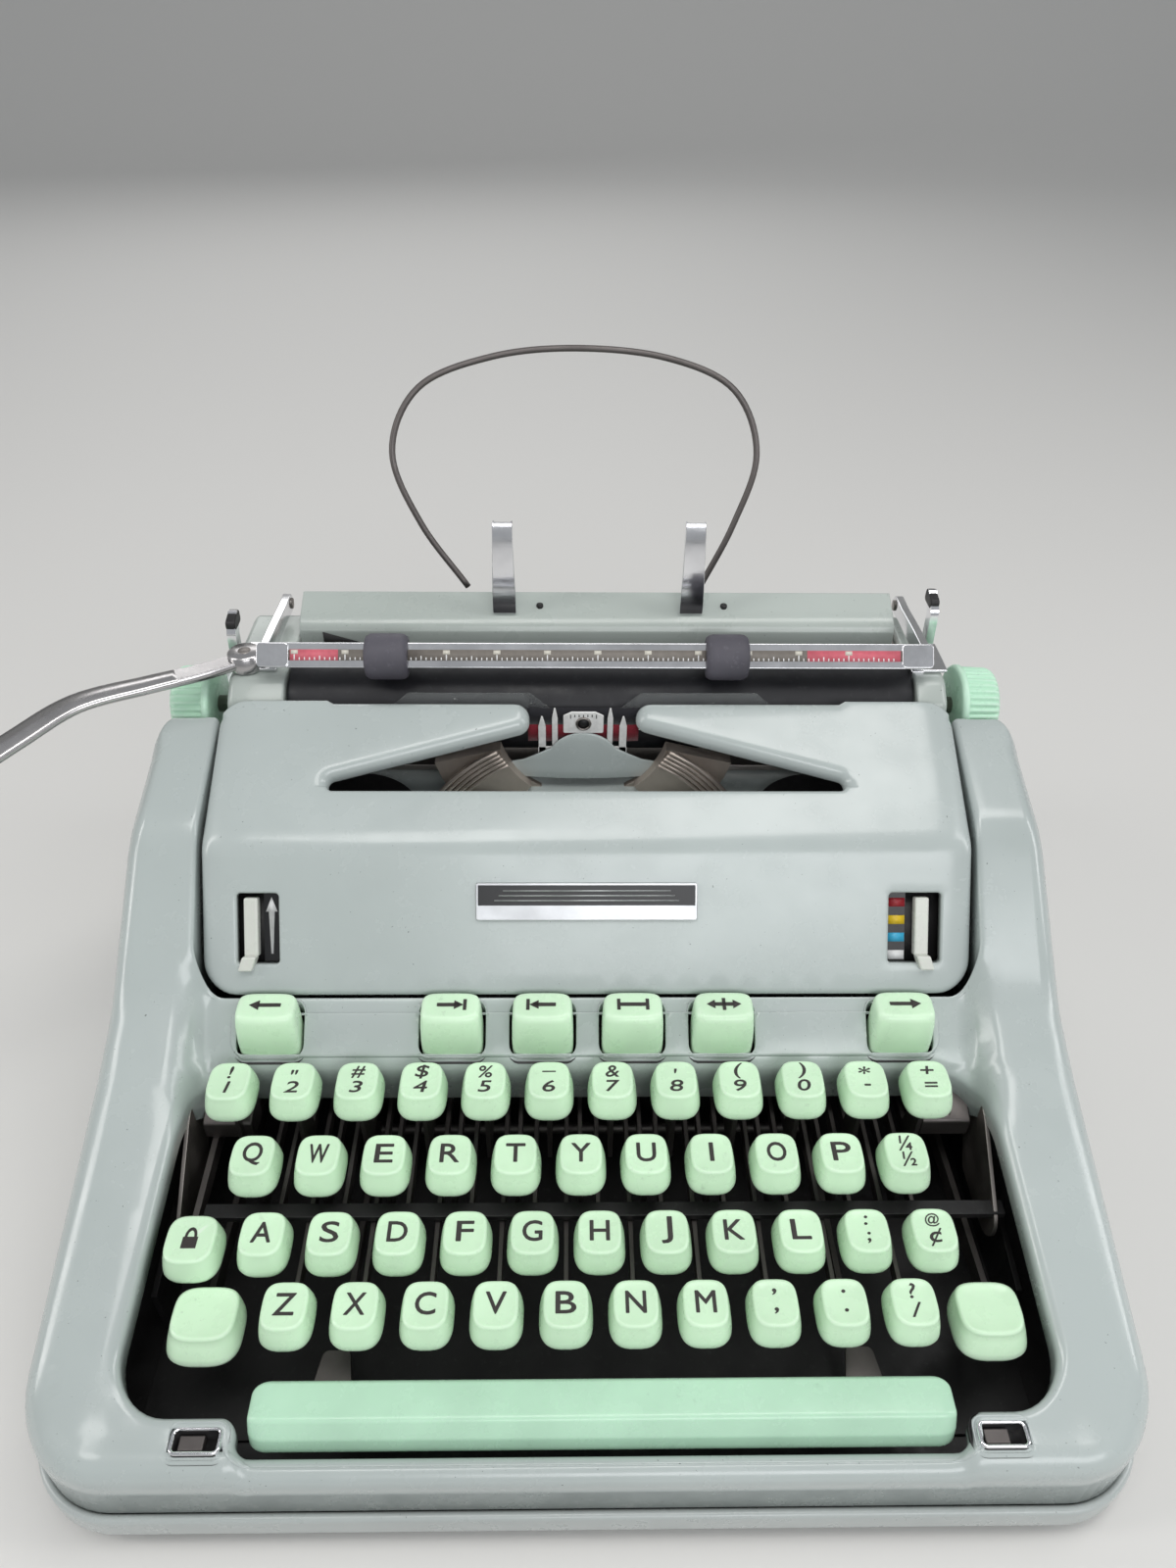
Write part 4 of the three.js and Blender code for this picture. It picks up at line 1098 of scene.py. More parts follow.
def build_cover():
    holes = [(window_outline(x), 1.0, 3.4) for x in (LEFT_WINDOW, RIGHT_WINDOW)]
    verts, faces = pressed_sheet(
        cover_outline(), holes, cover_point, spacing=3.4, rim=cover_rim, drop=cover_drop, rounds=6)
    cover = piece("ribbon_cover", verts, faces, "enamel", "cover", ["ribbon_cover"], "enamel",
                  materials=["black_paint"], sheet=True)
    thicken(cover, COVER_SHEET)
    cover.modifiers["sheet"].material_offset = 1
    build_name_plate()
    build_window("left", LEFT_WINDOW, "touch_lever", "touch_lever")
    build_window("right", RIGHT_WINDOW, "ribbon_colour_lever", "colour_lever")


def build_name_plate():
    """A blank two-tone plate: a dark field over a bright one inside a thin bright frame."""
    low, high = node_box("name_plate")
    middle = (low.x + high.x) / 2
    s0, s1 = cover_along(low.y + 0.6), cover_along(high.y)
    half, tall = (high.x - low.x) / 2, s1 - s0
    frame_width = 0.7
    divide = tall * 0.4
    corners = [(-half, 0), (half, 0), (half, tall), (-half, tall)]
    plate = prism_part(rounded_outline(corners, 0.8, 4), "z", (0.0, 1.0))
    bevel(piece("name_plate", *on_face(plate, middle, s0), "plate_metal", "cover", ["name_plate"],
                "plate"), 0.25, 2)
    field = box_part((-half + frame_width, half - frame_width), (divide, tall - frame_width), (0.9, 1.15))
    bevel(piece("name_plate_dark_field", *on_face(field, middle, s0), "print_black", "cover",
                slot="plate"), 0.08, 2)
    lines = []
    for k in range(3):
        across = (-half + 6 + k * 1.4, half - 6 - k * 1.4)
        lines.append(box_part(across, (divide + 1.5 + k * 1.6, divide + 1.8 + k * 1.6), (1.1, 1.22)))
    piece("name_plate_lines", *on_face(merged(*lines), middle, s0), "plate_metal", "cover", slot="plate")


def build_window(name, x, node, body):
    """What shows in a window of the cover: a dark well, a printed plate and the lever's tip."""
    s0, s1 = cover_along(WINDOW_Y[0]), cover_along(WINDOW_Y[1])
    tall = s1 - s0
    well = box_part((x[0] - 1.2, x[1] + 1.2), (-1.4, tall + 1.4), (-5.4, -4.6))
    piece(f"window_well_{name}", *on_face(well, 0, s0), "black_paint", "frame", slot="black_metal")
    lever_x = (x[0] + 4.4) if name == "left" else (x[1] - 6.2)
    plate_x = (x[1] - 5.6, x[1] - 0.4) if name == "left" else (x[0] + 0.4, x[0] + 6.4)
    plate = box_part(plate_x, (0.2, tall - 0.2), (-4.2, -3.4))
    bevel(piece(f"window_plate_{name}", *on_face(plate, 0, s0), "print_black", "cover", slot="plate"),
          0.15, 2)
    middle = (plate_x[0] + plate_x[1]) / 2
    if name == "left":
        shaft, head = tall * 0.12, tall * 0.72
        arrow = [(-0.35, shaft), (0.35, shaft), (0.95, head), (1.9, head), (0, tall * 0.93),
                 (-1.9, head), (-0.95, head)]
        part = prism_part([(middle + a, b) for a, b in arrow], "z", (-3.45, -3.3))
        piece("touch_arrow", *on_face(part, 0, s0), "print_white", "cover", slot="plate")
    else:
        colours = ["print_white", "print_black", "print_blue", "print_black", "print_yellow",
                   "print_black", "print_red"]
        step = (tall - 1.4) / (len(colours) + 1.6)
        for i, colour in enumerate(colours):
            if colour != "print_black":
                part = box_part((plate_x[0] + 0.3, plate_x[1] - 0.3),
                                (0.7 + i * step * 1.15, 0.7 + (i + 1) * step * 1.15),
                                (-3.45, -3.3))
                piece(f"colour_band_{i}", *on_face(part, 0, s0), colour, "cover", slot="plate")
    side = -1 if name == "left" else 1
    stem = box_part((-2.3, 2.3), (0.6, tall - 3.2), (-4.4, -0.6))
    toe = prism_part([(-2.3, 1.2), (2.3, 1.2), (2.3 + side * 1.5, -3.6), (-2.3 + side * 1.5, -3.6)],
                     "z", (-2.6, 2.4))
    lever = piece(node, *on_face(merged(stem, toe), lever_x, s0 + 1.6), "lever_plastic", body, [node],
                  "enamel")
    bevel(lever, 0.7, 3)


# ---- keys ---------------------------------------------------------------------------------

KEY_PITCH = 20
CAP_HEIGHT = 9.75
CAP_BASE = (15.6, 16.8)
CAP_FACE = (12.8, 13.4)
LEVER_TOP = 41
LEVER_BOTTOM = 36
PIVOT_Y, PIVOT_Z = 196, 48
EXAMPLE_KEY = ("home", 5)
TIE_FRONT_Y = 160
TIE_PITCH = 8
TIE_Z = (22, 26)
FUNCTION_TILT = 0.06
SHIFT_CAP_INSET = 11.5
SPACE_ARMS = (-75, 80)

# each row: name, middle, and its legends from left to right (lower, upper)
ROWS = [
    ("bottom", 2.75, "Z X C V B N M ,, .. /?".split()),
    ("home", 2.75, "A S D F G H J K L ;: ¢@".split()),
    ("upper", -2.75, "Q W E R T Y U I O P ½¼".split()),
    ("number", -2.75, "1! 2\" 3# 4$ 5% 6_ 7& 8' 9( 0) -* =+".split()),
]


def squircle(centre, size, power, count=40, bulge=0.0):
    """A rounded rectangle between an ellipse and a box; bulge pushes its front out."""
    out = []
    for k in range(count):
        angle = 2 * math.pi * (k + 0.5) / count
        c, s = math.cos(angle), math.sin(angle)
        x = math.copysign(abs(c) ** (2 / power), c) * size[0] / 2
        y = math.copysign(abs(s) ** (2 / power), s) * size[1] / 2
        if y < 0:
            y -= bulge * (1 - (2 * x / size[0]) ** 2)
        out.append((centre[0] + x, centre[1] + y))
    return out


def key_dish(x, y, face, deep=0.35):
    """How far the finger face is sunk at (x, y) from its middle."""
    reach = max(abs(2 * x / face[0]), abs(2 * y / face[1]))
    return deep * max(0.0, 1 - reach ** 2)


def cap_part(x, y, top, base=CAP_BASE, face=CAP_FACE, height=CAP_HEIGHT, back=0.4, round_edge=1.1):
    """A moulded cap: flared foot, straight sides, a rounded shoulder and a sunk finger face."""
    rows = []

    def ring(size, z, power, shift):
        rows.append([(px, py, z) for px, py in squircle((x, y + shift), size, power, bulge=0.6)])

    foot = top - height
    ring((base[0] - 3.4, base[1] - 3.4), foot + 0.1, 3.2, -back)
    ring((base[0] - 1.8, base[1] - 1.8), foot, 3.2, -back)
    ring((base[0] - 0.6, base[1] - 0.6), foot + 0.7, 3.3, -back)
    ring(base, foot + 2.2, 3.4, -back)
    steps = 3
    for k in range(1, steps + 1):
        t = k / (steps + 1)
        size = tuple(b + (f + 0.5 - b) * t ** 1.25 for b, f in zip(base, face))
        ring(size, foot + 2.2 + (height - 2.2 - round_edge) * t, 3.5, -back * (1 - t))
    turns = 5
    for k in range(turns + 1):
        angle = math.pi / 2 * k / turns
        inset = round_edge * (1 - math.cos(angle))
        size = (face[0] + 0.3 - inset * 1.5, face[1] + 0.3 - inset * 1.5)
        ring(size, top - round_edge + round_edge * math.sin(angle), 3.5, 0)
    for share in (0.85, 0.6, 0.3):
        flat = squircle((0, 0), (face[0] * share, face[1] * share), 3.4, bulge=0.5 * share)
        rows.append([(x + px, y + py, top - key_dish(px, py, face)) for px, py in flat])
    return grid(rows, close_v=True, cap_start=True, cap_end=True)


def legend_mesh(text, size, width, slant):
    """The flat outline of a character as a mesh whose middle is at its own origin."""
    curve = bpy.data.curves.new("legend", "FONT")
    curve.body = text
    curve.size = size
    curve.shear = slant
    curve.align_x = "CENTER"
    curve.resolution_u = 4
    curve.extrude = 0.05
    obj = bpy.data.objects.new("legend", curve)
    bpy.context.scene.collection.objects.link(obj)
    bpy.context.view_layer.update()
    mesh = bpy.data.meshes.new_from_object(obj.evaluated_get(bpy.context.evaluated_depsgraph_get()))
    verts = [Vector(v.co) for v in mesh.vertices]
    faces = [tuple(p.vertices) for p in mesh.polygons]
    bpy.data.objects.remove(obj)
    bpy.data.curves.remove(curve)
    bpy.data.meshes.remove(mesh)
    natural = max(v.x for v in verts) - min(v.x for v in verts)
    scale = 1.25 if natural < NARROW else min(1.5, width / natural)
    middle_x = (min(v.x for v in verts) + max(v.x for v in verts)) / 2
    middle_y = (min(v.y for v in verts) + max(v.y for v in verts)) / 2
    centred = [((v.x - middle_x) * scale, v.y - middle_y, v.z) for v in verts]
    spread = STROKE * size
    copies = []
    for k, (dx, dy) in enumerate(((0, 0), (1, 0), (-1, 0), (0, 1), (0, -1))):
        copies.append(([(a + dx * spread, b + dy * spread, c + k * 0.004) for a, b, c in centred], faces))
    return merged(*copies)


LETTER_SIZE = 9.2
LETTER_WIDTH = 5.8
SMALL_SIZE = 6.1
SMALL_WIDTH = 4.2
NARROW = 1.7                # narrower characters, in millimetres, are only widened a little
STROKE = 0.011              # share of its size by which a stroke is thickened


def build_legend(name, text, x, y, top, face, body):
    """One character in the middle of the cap, or two above each other."""
    if len(text) == 1:
        marks = [(text, LETTER_SIZE, LETTER_WIDTH, 0.0, 0.2, 0.0)]
    else:
        small = SMALL_SIZE * (1.15 if text[0] in "½¢,." else 1.0)
        marks = [(text[0], small, SMALL_WIDTH, 0.0, -2.6, 0.12),
                 (text[1], small * (0.62 if text[1] == "@" else 1), SMALL_WIDTH, 0.0, 2.9, 0.12)]
    parts = []
    for character, size, width, dx, dy, slant in marks:
        shape = legend_mesh(character, size, width, slant)
        parts.append(bent(shape, lambda px, py, pz, dx=dx, dy=dy: (
            x + dx + px, y + dy + py, top + 0.03 - key_dish(dx + px, dy + py, face) + pz)))
    piece(name, *merged(*parts), "legend", body, slot="key_plastic", smooth=False)


def lever_part(x, y, foot, thickness=1.5):
    """A flat steel lever from under a cap back to the common pivot."""
    low, high = min(LEVER_BOTTOM, foot - 5), min(LEVER_TOP, foot)
    back = PIVOT_Y - 2
    outline = [(y - 3, foot), (y - 3, low), (y + 4, low), (y + 10, LEVER_BOTTOM), (back - 8, LEVER_BOTTOM),
               (back, PIVOT_Z - 3), (back, PIVOT_Z + 3), (back - 3, PIVOT_Z + 3), (back - 12, LEVER_TOP),
               (y + 8, high), (y + 3, foot)]
    return prism_part(outline, "x", (x - thickness / 2, x + thickness / 2))


def build_key_rows():
    for row, (name, middle, legends) in enumerate(ROWS):
        node = "key_row_" + name
        low, high = node_box(node)
        top = high.z
        y = low.y + CAP_BASE[1] / 2 + 0.4
        levers = []
        for index, text in enumerate(legends):
            x = middle + (index - (len(legends) - 1) / 2) * KEY_PITCH
            example = (name, index) == EXAMPLE_KEY
            body = "key_h" if example else "row_" + name
            cap_name = f"key_cap_{name}_{index + 1}"
            piece(cap_name, *cap_part(x, y, top), "mint", body, slot="key_plastic")
            build_legend(f"key_legend_{name}_{index + 1}", text, x, y, top, CAP_FACE, body)
            lever = lever_part(x, y, top - CAP_HEIGHT + 1)
            if example:
                bevel(piece("key_lever_h", *lever, "lever_steel", body, ["key_h"], "steel"), 0.2, 2)
            else:
                levers.append(lever)
        tie_y = TIE_FRONT_Y + TIE_PITCH * (3 - row)
        reach = (len(legends) - 1) / 2 * KEY_PITCH
        levers.append(box_part((middle - reach - 2, middle + reach + 2), (tie_y - 2, tie_y + 2), TIE_Z))
        obj = piece(f"key_levers_{name}", *merged(*levers), "lever_steel", "row_" + name, [node], "steel")
        bevel(obj, 0.2, 2)


def pictogram(name, parts, body):
    piece(name, *merged(*parts), "legend", body, slot="key_plastic", smooth=False)


def arrow_marks(kind):
    """Plain symbols in a 10 by 6 field: arrows, stops and bars instead of words."""
    def bar(x0, x1, y0, y1):
        return [(x0, y0), (x1, y0), (x1, y1), (x0, y1)]

    def head(tip, base, half, y=0.0):
        return [(tip, y), (base, y - half), (base, y + half)]

    return {
        "backspace": [bar(-2.2, 4, -0.65, 0.65), head(-4.4, -1.8, 1.9)],
        "tab_set": [bar(-3.6, 2.4, -0.65, 0.65), head(3.4, 1.0, 1.7), bar(3.4, 4.3, -2.2, 2.2)],
        "tab_clear": [bar(-2.4, 3.6, -0.65, 0.65), head(-3.4, -1.0, 1.7), bar(-4.3, -3.4, -2.2, 2.2)],
        "clear_all": [bar(-3.4, 3.4, -0.65, 0.65), bar(-4.3, -3.4, -2.2, 2.2), bar(3.4, 4.3, -2.2, 2.2)],
        "margin_release": [head(-4.6, -2.4, 1.7), bar(-2.6, 2.6, -0.65, 0.65), head(4.6, 2.4, 1.7),
                           bar(-0.45, 0.45, -2.4, 2.4)],
        "tabulator": [bar(-4, 2, -0.65, 0.65), head(4.4, 1.8, 1.9)],
    }[kind]


def build_function_keys():
    for node in FUNCTION_KEYS:
        low, high = node_box(node)
        kind = node.removeprefix("function_key_")
        x, y = (low.x + high.x) / 2, (low.y + high.y) / 2
        top = high.z
        size = (high.x - low.x, high.y - low.y)
        rows = []
        table = [(low.z + 0.1, 0.8, 0, 5), (low.z + 8, 0.0, 0, 6), (top - 12, 0.0, -0.25, 6),
                 (top - 5.0, 0.4, 0.1, 5.5),
                 (top - 2.4, 0.8, 0.4, 5), (top - 1.1, 1.1, 0.6, 4.6), (top - 0.4, 1.8, 0.9, 4.4),
                 (top - 0.05, 2.8, 1.1, 4.2)]
        for z, inset, shift, power in table:
            ring = squircle((x, y + shift), (size[0] - inset * 1.1, size[1] - inset), power, bulge=0.5)
            rows.append([(px, py, z + (py - y) * FUNCTION_TILT * ease((z - top + 6) / 4)) for px, py in ring])
        for share, sunk in ((0.6, 0.15), (0.3, 0.25)):
            ring = squircle((x, y + 1.1), (size[0] * share, size[1] * share), 4.4, bulge=0.3)
            rows.append([(px, py, top - sunk + (py - y) * FUNCTION_TILT) for px, py in ring])
        body = "key_" + kind
        part = grid(rows, close_v=True, cap_start=True, cap_end=True)
        piece(node, *part, "mint", body, [node], "key_plastic")
        marks = [prism_part([(x + a * 1.2, y + 1.0 + b * 0.95) for a, b in outline], "z",
                            (top - 0.4, top + 0.02))
                 for outline in arrow_marks(kind)]
        marks = [bent(mark, lambda px, py, pz: (px, py, pz + (py - y) * FUNCTION_TILT)) for mark in marks]
        pictogram(f"function_legend_{kind}", marks, body)


def build_shift_keys():
    low, high = node_box("shift_keys")
    top = high.z
    base, face, height = (21.6, 19), (18.6, 15.4), 9.0
    y = low.y + base[1] / 2 + 2.1
    for name, x in (("left", low.x + SHIFT_CAP_INSET), ("right", high.x - SHIFT_CAP_INSET)):
        part = cap_part(x, y, top, base, face, height, back=2.1, round_edge=1.4)
        piece(f"shift_key_{name}", *part, "mint", "shift", slot="key_plastic")
    arms = []
    for x in (low.x + SHIFT_CAP_INSET - 3.4, high.x - SHIFT_CAP_INSET + 5.2):
        outline = [(y - 4, top - 8.6), (y - 4, 25), (149, 21), (149, 27), (y + 14, 32), (y + 4, top - 8.6)]
        arms.append(prism_part(outline, "x", (x - 1, x + 1)))
    shaft = round_part([(low.x + 8, 0.0), (low.x + 8, 2.6), (high.x - 6.4, 2.6), (high.x - 6.4, 0.0)], "x",
                       (0, 146, 24), 20)
    bevel(piece("shift_frame", *merged(*arms, shaft), "lever_steel", "shift", ["shift_keys"], "steel"),
          0.2, 2)
    low, high = node_box("shift_lock_key")
    x, y, top = (low.x + high.x) / 2, low.y + 17 / 2 + 0.4, high.z
    face = (14.4, 14.4)
    piece("shift_lock_cap", *cap_part(x, y, top, (17.2, 17), face), "mint", "shift_lock", slot="key_plastic")
    body = [(-2.2, -3.2), (2.2, -3.2), (2.2, 0.4), (-2.2, 0.4)]
    bow_outer = arc((0, 0.4), (1.8, 3.0), 180, 0, 10)
    bow_inner = arc((0, 0.4), (1.0, 2.0), 0, 180, 10)
    marks = [prism_part([(x + a, y + b) for a, b in outline], "z", (top - 0.33, top - 0.2))
             for outline in (body, bow_outer + bow_inner)]
    pictogram("shift_lock_legend", marks, "shift_lock")
    foot = top - CAP_HEIGHT + 1
    outline = [(y - 3, foot), (y - 3, 38), (111, 40), (111, 46), (y + 6, foot - 2), (y + 4, foot)]
    lever = prism_part(outline, "x", (x - 5, x - 3))
    bevel(piece("shift_lock_lever", *lever, "lever_steel", "shift_lock", ["shift_lock_key"], "steel"), 0.2, 2)


def build_space_bar():
    low, high = SPACE_LOW, SPACE_HIGH
    top, foot = high.z, 27.0
    y0, y1 = low.y, low.y + 16.2
    profile = rounded_outline(
        [(y0, foot), (y1, foot), (y1, top - 2.5), (y1 - 1.2, top), (y0 + 4.6, top), (y0 + 1.4, top - 5)],
        [1.4, 1.2, 1.2, 1.6, 2.2, 3.5], 6)
    middle = (y0 + y1) / 2
    rows = []
    end = 5.0
    turns = 8
    stations = [(low.x + end * (1 - math.cos(math.pi / 2 * k / turns)), math.sin(math.pi / 2 * k / turns))
                for k in range(turns + 1)]
    stations += [(high.x - end * (1 - math.cos(math.pi / 2 * k / turns)), math.sin(math.pi / 2 * k / turns))
                 for k in reversed(range(turns + 1))]
    for x, share in stations:
        shrink = 1 - 0.42 * (1 - share)
        lift = foot + (top - foot) * 0.45
        rows.append([(x, middle + (y - middle) * shrink, lift + (z - lift) * (1 - 0.3 * (1 - share)))
                     for y, z in profile])
    part = grid(rows, close_v=True, cap_start=True, cap_end=True)
    piece("space_bar_cap", *part, "mint_bar", "space", slot="key_plastic")
    arms = []
    for x in SPACE_ARMS:
        outline = [(middle - 3, foot + 1), (middle - 3, 17), (127, 12), (127, 16), (middle + 9, 22),
                   (middle + 3, foot + 1)]
        arms.append(prism_part(outline, "x", (x - 1, x + 1)))
        flare = rounded_outline([(x - 7, middle + 2), (x + 7, middle + 2), (x + 4, 40), (x - 4, 40)], 2, 4)
        arms.append(prism_part(flare, "z", (foot - 1.4, foot - 0.2)))
    shaft = round_part([(SPACE_ARMS[0], 0.0), (SPACE_ARMS[0], 2), (SPACE_ARMS[1], 2),
                        (SPACE_ARMS[1], 0.0)], "x",
                       (0, 125, 14), 20)
    obj = piece("space_bar_frame", *merged(*arms, shaft), "lever_steel", "space", ["space_bar"], "steel")
    bevel(obj, 0.2, 2)


# ---- printing point -----------------------------------------------------------------------

PRINT_X = -1.5
SEGMENT_RISE = 54
SLUG_ROWS = 5
SLUG_RADIUS = 55.5
SLUG_PITCH = 1.9
SLUG_WIDTH = 1.1
SLUG_Y = (194.6, 196.2)
SLUG_STEP = 0.4
SLUG_ANGLES = {-1: (118, 150), 1: (30, 62)}
DOME_FRONT = 202.5
DOME_RADIUS = 13.5
DOME_REACH = 26.5
DOME_CROWN = 2.0
DOME_SHOULDER = 5.5
DOME_FOOT = (6, 7.5)
GUIDE_HOLE_Z = 138.8
GUIDE_HOLE_RADIUS = 1.9
CARD_CHAMFER = 9
# each prong's x, how far it stands below the tallest, and half its width
PRONGS = ((-16, 3.4, 1.3), (-11.5, 0, 1.0), (7.9, 0, 1.0), (12.5, 3.4, 1.3))
PRONG_TAPER = 4.2
RIBBON_STEPS = 30
RIBBON_WAVE = 0.12
SPOOL_FLANGE = 0.8
SPOOL_CORE = 12
SPOOL_BORE = 2.6


def build_segment():
    """The slotted type segment with its type bars fanned out on both sides."""
    finish("type_segment", "segment_steel")
    soften("type_segment", 0.3)
    finish("typebar_fan", "segment_steel")
    soften("typebar_fan", 0.15)
    finish("typebar_h", "steel")
    soften("typebar_h", 0.15)
    centre = (PRINT_X, node_box("type_segment")[1].z - SEGMENT_RISE)
    for side in (-1, 1):
        arcs = []
        start, end = SLUG_ANGLES[side]
        for k in range(SLUG_ROWS):
            inner = SLUG_RADIUS + SLUG_PITCH * k
            outline = arc(centre, inner + SLUG_WIDTH, start, end, 14) + arc(centre, inner, end, start, 14)
            arcs.append(prism_part(outline, "y", (SLUG_Y[0] - SLUG_STEP * k, SLUG_Y[1] - SLUG_STEP * k)))
        name = "right" if side > 0 else "left"
        piece(f"type_slugs_{name}", *merged(*arcs), "segment_steel", "frame", slot="steel")


def build_dome():
    """The painted shield with its round top in front of the printing point."""
    low, high = node_box("type_shield")
    radius, reach = DOME_RADIUS, DOME_REACH
    foot, shoulder = DOME_FOOT
    apex = high.z + 0.6
    top = apex - radius
    outline = [(PRINT_X - reach, low.z), (PRINT_X + reach, low.z), (PRINT_X + reach, low.z + foot)]
    outline += [(PRINT_X + reach - DOME_SHOULDER, low.z + shoulder)]
    outline += arc((PRINT_X, top), radius, 33, 147, 24)
    outline += [(PRINT_X - reach + DOME_SHOULDER, low.z + shoulder), (PRINT_X - reach, low.z + foot)]
    loop = resampled(outline, 2.0)

    def place(u, v, depth):
        edge = min(1.0, math.hypot((u - PRINT_X) / reach, (v - low.z) / (apex - low.z)))
        return (u, DOME_FRONT - DOME_CROWN * (1 - edge ** 2) + depth, v)

    verts, faces = pressed_sheet(loop, [], place, spacing=2.0, rim=0.5, drop=0.6, rounds=3)
    dome = piece("type_shield", verts, faces, "enamel", "frame", ["type_shield"], "enamel", sheet=True)
    thicken(dome, 0.6)


def build_guide():
    """The bright type guide with its dark hole, collar and black ticks, and the two clear card holders."""
    low, high = node_box("type_guide")
    half = (high.x - low.x) / 2
    middle = (low.x + high.x) / 2
    hole = (GUIDE_HOLE_Z, GUIDE_HOLE_RADIUS)
    outline = rounded_outline([(middle - half, low.z), (middle + half, low.z), (middle + half, high.z - 1.5),
                               (middle + 4.2, high.z), (middle - 4.2, high.z),
                               (middle - half, high.z - 1.5)], 0.6, 4)
    plate = prism_part(outline, "y", (low.y, high.y))
    bevel(piece("type_guide", *plate, "nickel", "frame", ["type_guide"], "steel"), 0.2, 2)
    dark = round_part([(low.y - 0.08, 0.0), (low.y - 0.08, hole[1]), (low.y + 0.1, hole[1]),
                       (low.y + 0.1, 0.0)], "y",
                      (middle, 0, hole[0]), 28)
    piece("type_guide_hole", *dark, "black_paint", "frame", slot="black_metal")
    collar = [(low.y - 0.05, hole[1]), (low.y - 0.5, hole[1] + 0.2), (low.y - 0.5, hole[1] + 0.7),
              (low.y - 0.05, hole[1] + 0.9)]
    piece("type_guide_collar", *round_part(collar + [collar[0]], "y", (middle, 0, hole[0]), 28),
          "steel", "frame",
          slot="steel")
    ticks = []
    for k in range(-3, 4):
        tall = 1.6 if k % 3 == 0 else 1.0
        x = middle + k * 1.5
        ticks.append(box_part((x - 0.16, x + 0.16), (low.y - 0.06, low.y + 0.04),
                              (high.z - tall - 1.0, high.z - 1.0)))
    piece("type_guide_ticks", *merged(*ticks), "print_black", "frame", slot="black_metal")
    for node in ("card_holder_left", "card_holder_right"):
        low, high = node_box(node)
        chamfer = CARD_CHAMFER
        left, right = (low.x, high.x)
        corners = [(left, low.z), (right, low.z), (right, high.z - chamfer * 0.9), (right - chamfer, high.z),
                   (left + chamfer, high.z), (left, high.z - chamfer * 0.9)]
        part = prism_part(rounded_outline(corners, [0.5, 0.5, 2, 2, 2, 2], 4), "y", (low.y, high.y))
        bevel(piece(node, *part, "clear", "frame", [node], "clear"), 0.18, 2)


def build_ribbon():
    """The vibrator's four bright prongs and the two-colour ribbon that they hold."""
    low, high = node_box("ribbon_vibrator")
    y0, y1 = low.y, high.y
    parts = [prism_part(rounded_outline([(-17.5, low.z), (14, low.z), (14, low.z + 4),
                                         (-17.5, low.z + 4)], 0.6, 3),
                        "y", (y0, y1))]
    for x, below, half in PRONGS:
        top = high.z - below
        outline = [(x - half, low.z + 1), (x + half, low.z + 1), (x + half, top - PRONG_TAPER),
                   (x + 0.25, top),
                   (x - 0.25, top), (x - half, top - PRONG_TAPER)]
        parts.append(prism_part(rounded_outline(outline, 0.2, 2), "y", (y0, y1)))
    vibrator = piece("ribbon_vibrator", *merged(*parts), "nickel", "vibrator", ["ribbon_vibrator"], "steel")
    bevel(vibrator, 0.15, 2)
    low, high = node_box("ribbon")
    middle = (low.z + high.z) / 2
    colours = (("ribbon_upper", middle, high.z, "ribbon_black"),
               ("ribbon_lower", low.z, middle, "ribbon_red"))
    for name, z0, z1, material in colours:
        rows = []
        for k in range(RIBBON_STEPS + 1):
            x = low.x + (high.x - low.x) * k / RIBBON_STEPS
            wave = RIBBON_WAVE * math.sin(k * 0.9)
            front, back = low.y + 0.2 + wave, high.y - 0.25 + wave
            rows.append([(x, front, z0), (x, back, z0), (x, back, z1), (x, front, z1)])
        part = grid(rows, close_v=True, cap_start=True, cap_end=True)
        nodes = ["ribbon"] if name == "ribbon_upper" else ()
        piece(name, *part, material, "vibrator", nodes, "ribbon_cloth")


def build_spools():
    for name in ("left", "right"):
        node = "ribbon_spool_" + name
        low, high = node_box(node)
        x, y = (low.x + high.x) / 2, (low.y + high.y) / 2
        radius = (high.x - low.x) / 2
        flange = SPOOL_FLANGE
        profile = [(low.z, SPOOL_BORE), (low.z, radius), (low.z + flange, radius),
                   (low.z + flange, SPOOL_CORE),
                   (high.z - flange, SPOOL_CORE), (high.z - flange, radius), (high.z, radius), (high.z, 9.5),
                   (high.z - 1.2, 8.5), (high.z - 1.2, SPOOL_BORE)]
        spool = piece(node, *round_part(profile + [profile[0]], "z", (x, y, 0), 64), "black_paint",
                      "spool_" + name, [node], "black_metal")
        bevel(spool, 0.2, 2)
        wound_low, wound_high = low.z + flange + 0.3, high.z - flange - 0.3
        wound = [(wound_low, SPOOL_CORE), (wound_low, radius - 4), (wound_high, radius - 4),
                 (wound_high, SPOOL_CORE)]
        piece(f"wound_ribbon_{name}", *round_part(wound + [wound[0]], "z", (x, y, 0), 64), "ribbon_black",
              "spool_" + name, slot="ribbon_cloth")
        nut = [(high.z - 1.4, 0.0), (high.z - 1.4, 2.6), (high.z - 0.3, 2.6), (high.z - 0.1, 2.2),
               (high.z - 0.1, 0.0)]
        piece(f"spool_nut_{name}", *round_part(nut, "z", (x, y, 0), 6), "steel", "spool_" + name,
              slot="steel",
              smooth=False)


# ---- carriage -----------------------------------------------------------------------------

